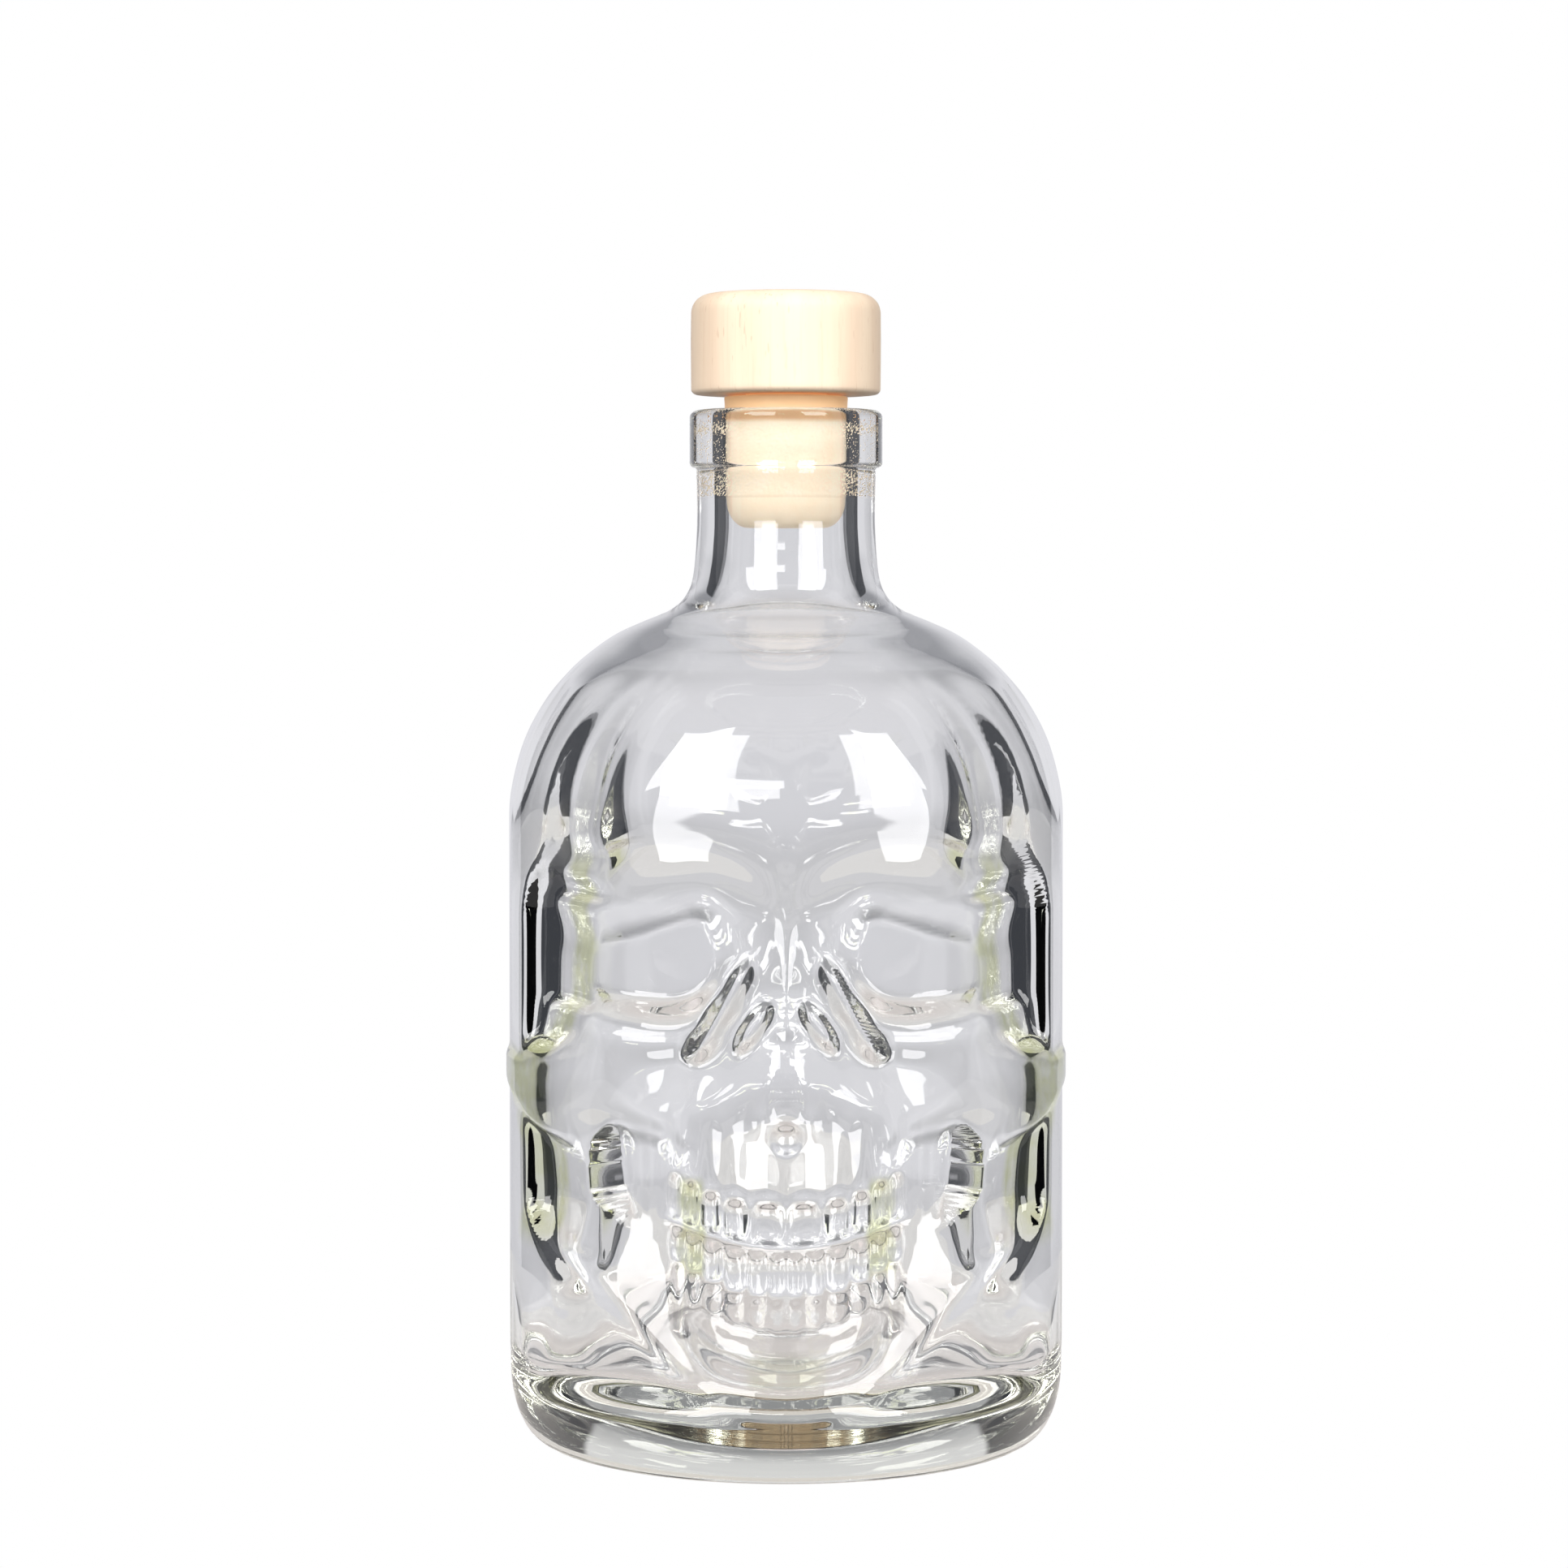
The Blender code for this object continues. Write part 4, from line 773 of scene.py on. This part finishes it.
def stopper_shank():
    """The shank fills the bore from its collar down to CONTACT_Z0, where small patches of its skin lie flat
    against the glass, and is free of it below."""
    profile = [(0.0, TENON_Z1), (TENON_R - 0.6, TENON_Z1)] + arc(TENON_R - 0.6, TENON_Z1 - 0.6, 0.6, 0.6, 70, 0, 4)
    profile += [(TENON_R, 158.2), (TENON_R + 0.2, 157.75), (COLLAR_R - 0.4, 157.6)] + arc(COLLAR_R - 0.35, 157.25, 0.35, 0.35, 60, 0, 4)
    profile += [(COLLAR_R - 0.05, 156.6), (COLLAR_R - 0.08, 156.0), (COLLAR_R - 0.14, 155.6), (BORE_R - 0.02, 155.1)]
    profile += [(BORE_R - 0.005 + RIB * bell((z - 152.6) / 0.8, 1.0) * 0.1, z) for z in np.arange(154.7, CONTACT_Z0 + 0.1, -0.16)]
    profile += [(SHANK_R, CONTACT_Z0 - 0.2), (SHANK_R - 0.03, SHANK_Z0 + 4.6)]
    profile += [(SHANK_R - 3.23 + 3.2 * math.cos(a), SHANK_Z0 + 4.4 - 4.4 * math.sin(a)) for a in np.linspace(0.12, math.pi / 2, 12)]
    profile += [(4.0, SHANK_Z0), (2.0, SHANK_Z0 + 0.12), (0.0, SHANK_Z0 + 0.15)]
    rng = np.random.default_rng(7)
    obj = turned("elastomer_shank", profile, "stopper", shank_material(), 360, 0.0, 50)
    co = np.empty(len(obj.data.vertices) * 3)
    obj.data.vertices.foreach_get("co", co)
    co = co.reshape(-1, 3)
    z, r = co[:, 2] / U, np.hypot(co[:, 0], co[:, 1]) / U
    held = (z > CONTACT_Z0 + 0.05) & (z < 154.8) & (r > BORE_R - 0.5)
    lift = np.where(held, rng.normal(0.0, 0.016, len(z)) - 0.012 * ease(145.5, 147.5, z), 0.0)
    co[:, :2] *= (1 + lift / np.maximum(r, 1.0))[:, None]
    obj.data.vertices.foreach_set("co", co.reshape(-1))
    obj.data.update()
    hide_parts("stopper_plug")
    return obj


# ---------------------------------------------------------------- stage, light and camera
def stage():
    mesh = bpy.data.meshes.new("pale_table")
    r, n = 170.0 * U, 96
    ring = [(r * math.cos(2 * math.pi * k / n), r * math.sin(2 * math.pi * k / n), -0.00002) for k in range(n)]
    mesh.from_pydata(ring, [], [list(range(n))])
    m, t, g = tree_of("table_white")
    out = g.node("ShaderNodeOutputMaterial")
    e = g.node("ShaderNodeEmission")
    path = g.node("ShaderNodeLightPath")
    place = g.place()
    sep = g.node("ShaderNodeSeparateXYZ")
    t.links.new(place, sep.inputs[0])
    rr = g.math("SQRT", g.math("ADD", g.math("POWER", sep.outputs[0], 2.0), g.math("POWER", sep.outputs[1], 2.0)))
    # the floor glows rather than being lit: white to the camera, and to other rays darker and pinker near the bottle,
    # painted shade round its foot
    tone = g.mix(g.ramp(rr, 35 * U, 120 * U), (0.70, 0.655, 0.64, 1), (0.74, 0.73, 0.73, 1))
    t.links.new(g.mix(path.outputs["Is Camera Ray"], tone, (1.0, 1.0, 1.0, 1)), e.inputs["Color"])
    e.inputs["Strength"].default_value = 1.0
    t.links.new(e.outputs[0], out.inputs["Surface"])
    mesh.materials.append(m)
    obj = bpy.data.objects.new("pale_table", mesh)
    bpy.context.scene.collection.objects.link(obj)
    return obj


def world():
    """A plain studio round the bottle: a pale backdrop, two soft boxes in front, grey panels at the sides
    and a dark room between them. The camera itself sees white."""
    w = bpy.data.worlds.new("studio")
    bpy.context.scene.world = w
    w.use_nodes = True
    t = w.node_tree
    for n in list(t.nodes):
        t.nodes.remove(n)
    g = Graph(t)
    sep = g.node("ShaderNodeSeparateXYZ")
    t.links.new(g.node("ShaderNodeTexCoord").outputs["Generated"], sep.inputs[0])
    x, y, z = sep.outputs
    deg = 180 / math.pi
    el = g.math("MULTIPLY", g.math("ARCSINE", z), deg)
    back = g.math("MULTIPLY", g.math("ABSOLUTE", g.math("ARCTAN2", x, y)), deg)            # azimuth away from +Y
    front = g.math("MULTIPLY", g.math("ARCTAN2", x, g.math("MULTIPLY", y, -1.0)), deg)                      # from -Y towards +X

    def window(value, low, high, soft):
        return g.math("MULTIPLY", g.ramp(value, low - soft, low + soft), g.ramp(value, high - soft, high + soft, 1.0, 0.0))

    room = (0.046, 0.049, 0.057, 1)
    backdrop = g.math("MULTIPLY", g.ramp(back, 34.5, 37.0, 1.0, 0.0), window(el, -70, 62, 3))
    drop = g.mix(g.ramp(el, -12.0, -1.0), (0.63, 0.63, 0.66, 1), (0.76, 0.76, 0.80, 1))
    drop = g.mix(g.ramp(el, 5.0, 26.0), drop, (0.30, 0.305, 0.33, 1))
    color = g.mix(backdrop, room, drop)
    sides = g.math("MULTIPLY", window(back, 81, 99, 1.5), window(el, -30, 60, 3))
    color = g.mix(sides, color, (0.62, 0.62, 0.64, 1))
    boxes = None
    for az0, az1, el0, el1 in LAMPS:
        pane = g.math("MULTIPLY", window(front, az0, az1, 0.4), window(el, el0, el1, 0.35))
        boxes = pane if boxes is None else g.math("MAXIMUM", boxes, pane)
    color = g.mix(boxes, color, (BOX, BOX, BOX, 1))
    pane = g.math("MULTIPLY", g.ramp(back, 8.5, 10.0, 1.0, 0.0), window(el, 43, 58, 1.0))
    color = g.mix(pane, color, (2.2, 1.85, 1.85, 1))
    path = g.node("ShaderNodeLightPath")
    color = g.mix(path.outputs["Is Camera Ray"], color, (1.0, 1.0, 1.0, 1))
    back_node = g.node("ShaderNodeBackground")
    t.links.new(color, back_node.inputs["Color"])
    out = g.node("ShaderNodeOutputWorld")
    t.links.new(back_node.outputs[0], out.inputs["Surface"])


def camera():
    data = bpy.data.cameras.new("camera")
    data.sensor_width = 36.0
    data.lens = 90.5
    data.clip_start, data.clip_end = 0.01, 50.0
    cam = bpy.data.objects.new("camera", data)
    cam.location = (-0.31 * U, -600.0 * U, 132.0 * U)
    data.shift_y = -0.07
    cam.rotation_euler = (math.radians(90.0 - 1.585), 0.0, 0.0)
    bpy.context.scene.collection.objects.link(cam)
    bpy.context.scene.camera = cam


def main():
    glass_bottle()
    stopper_head()
    stopper_shank()
    node = frame["nodes"]["stopper_glue"]
    node.data.materials.clear()
    node.data.materials.append(glue_material())
    stage()
    world()
    camera()
    scene = bpy.context.scene
    scene.view_settings.view_transform = "Standard"
    scene.cycles.max_bounces = 32
    scene.cycles.transmission_bounces = 32
    scene.cycles.glossy_bounces = 16
    scene.cycles.diffuse_bounces = 4


main()
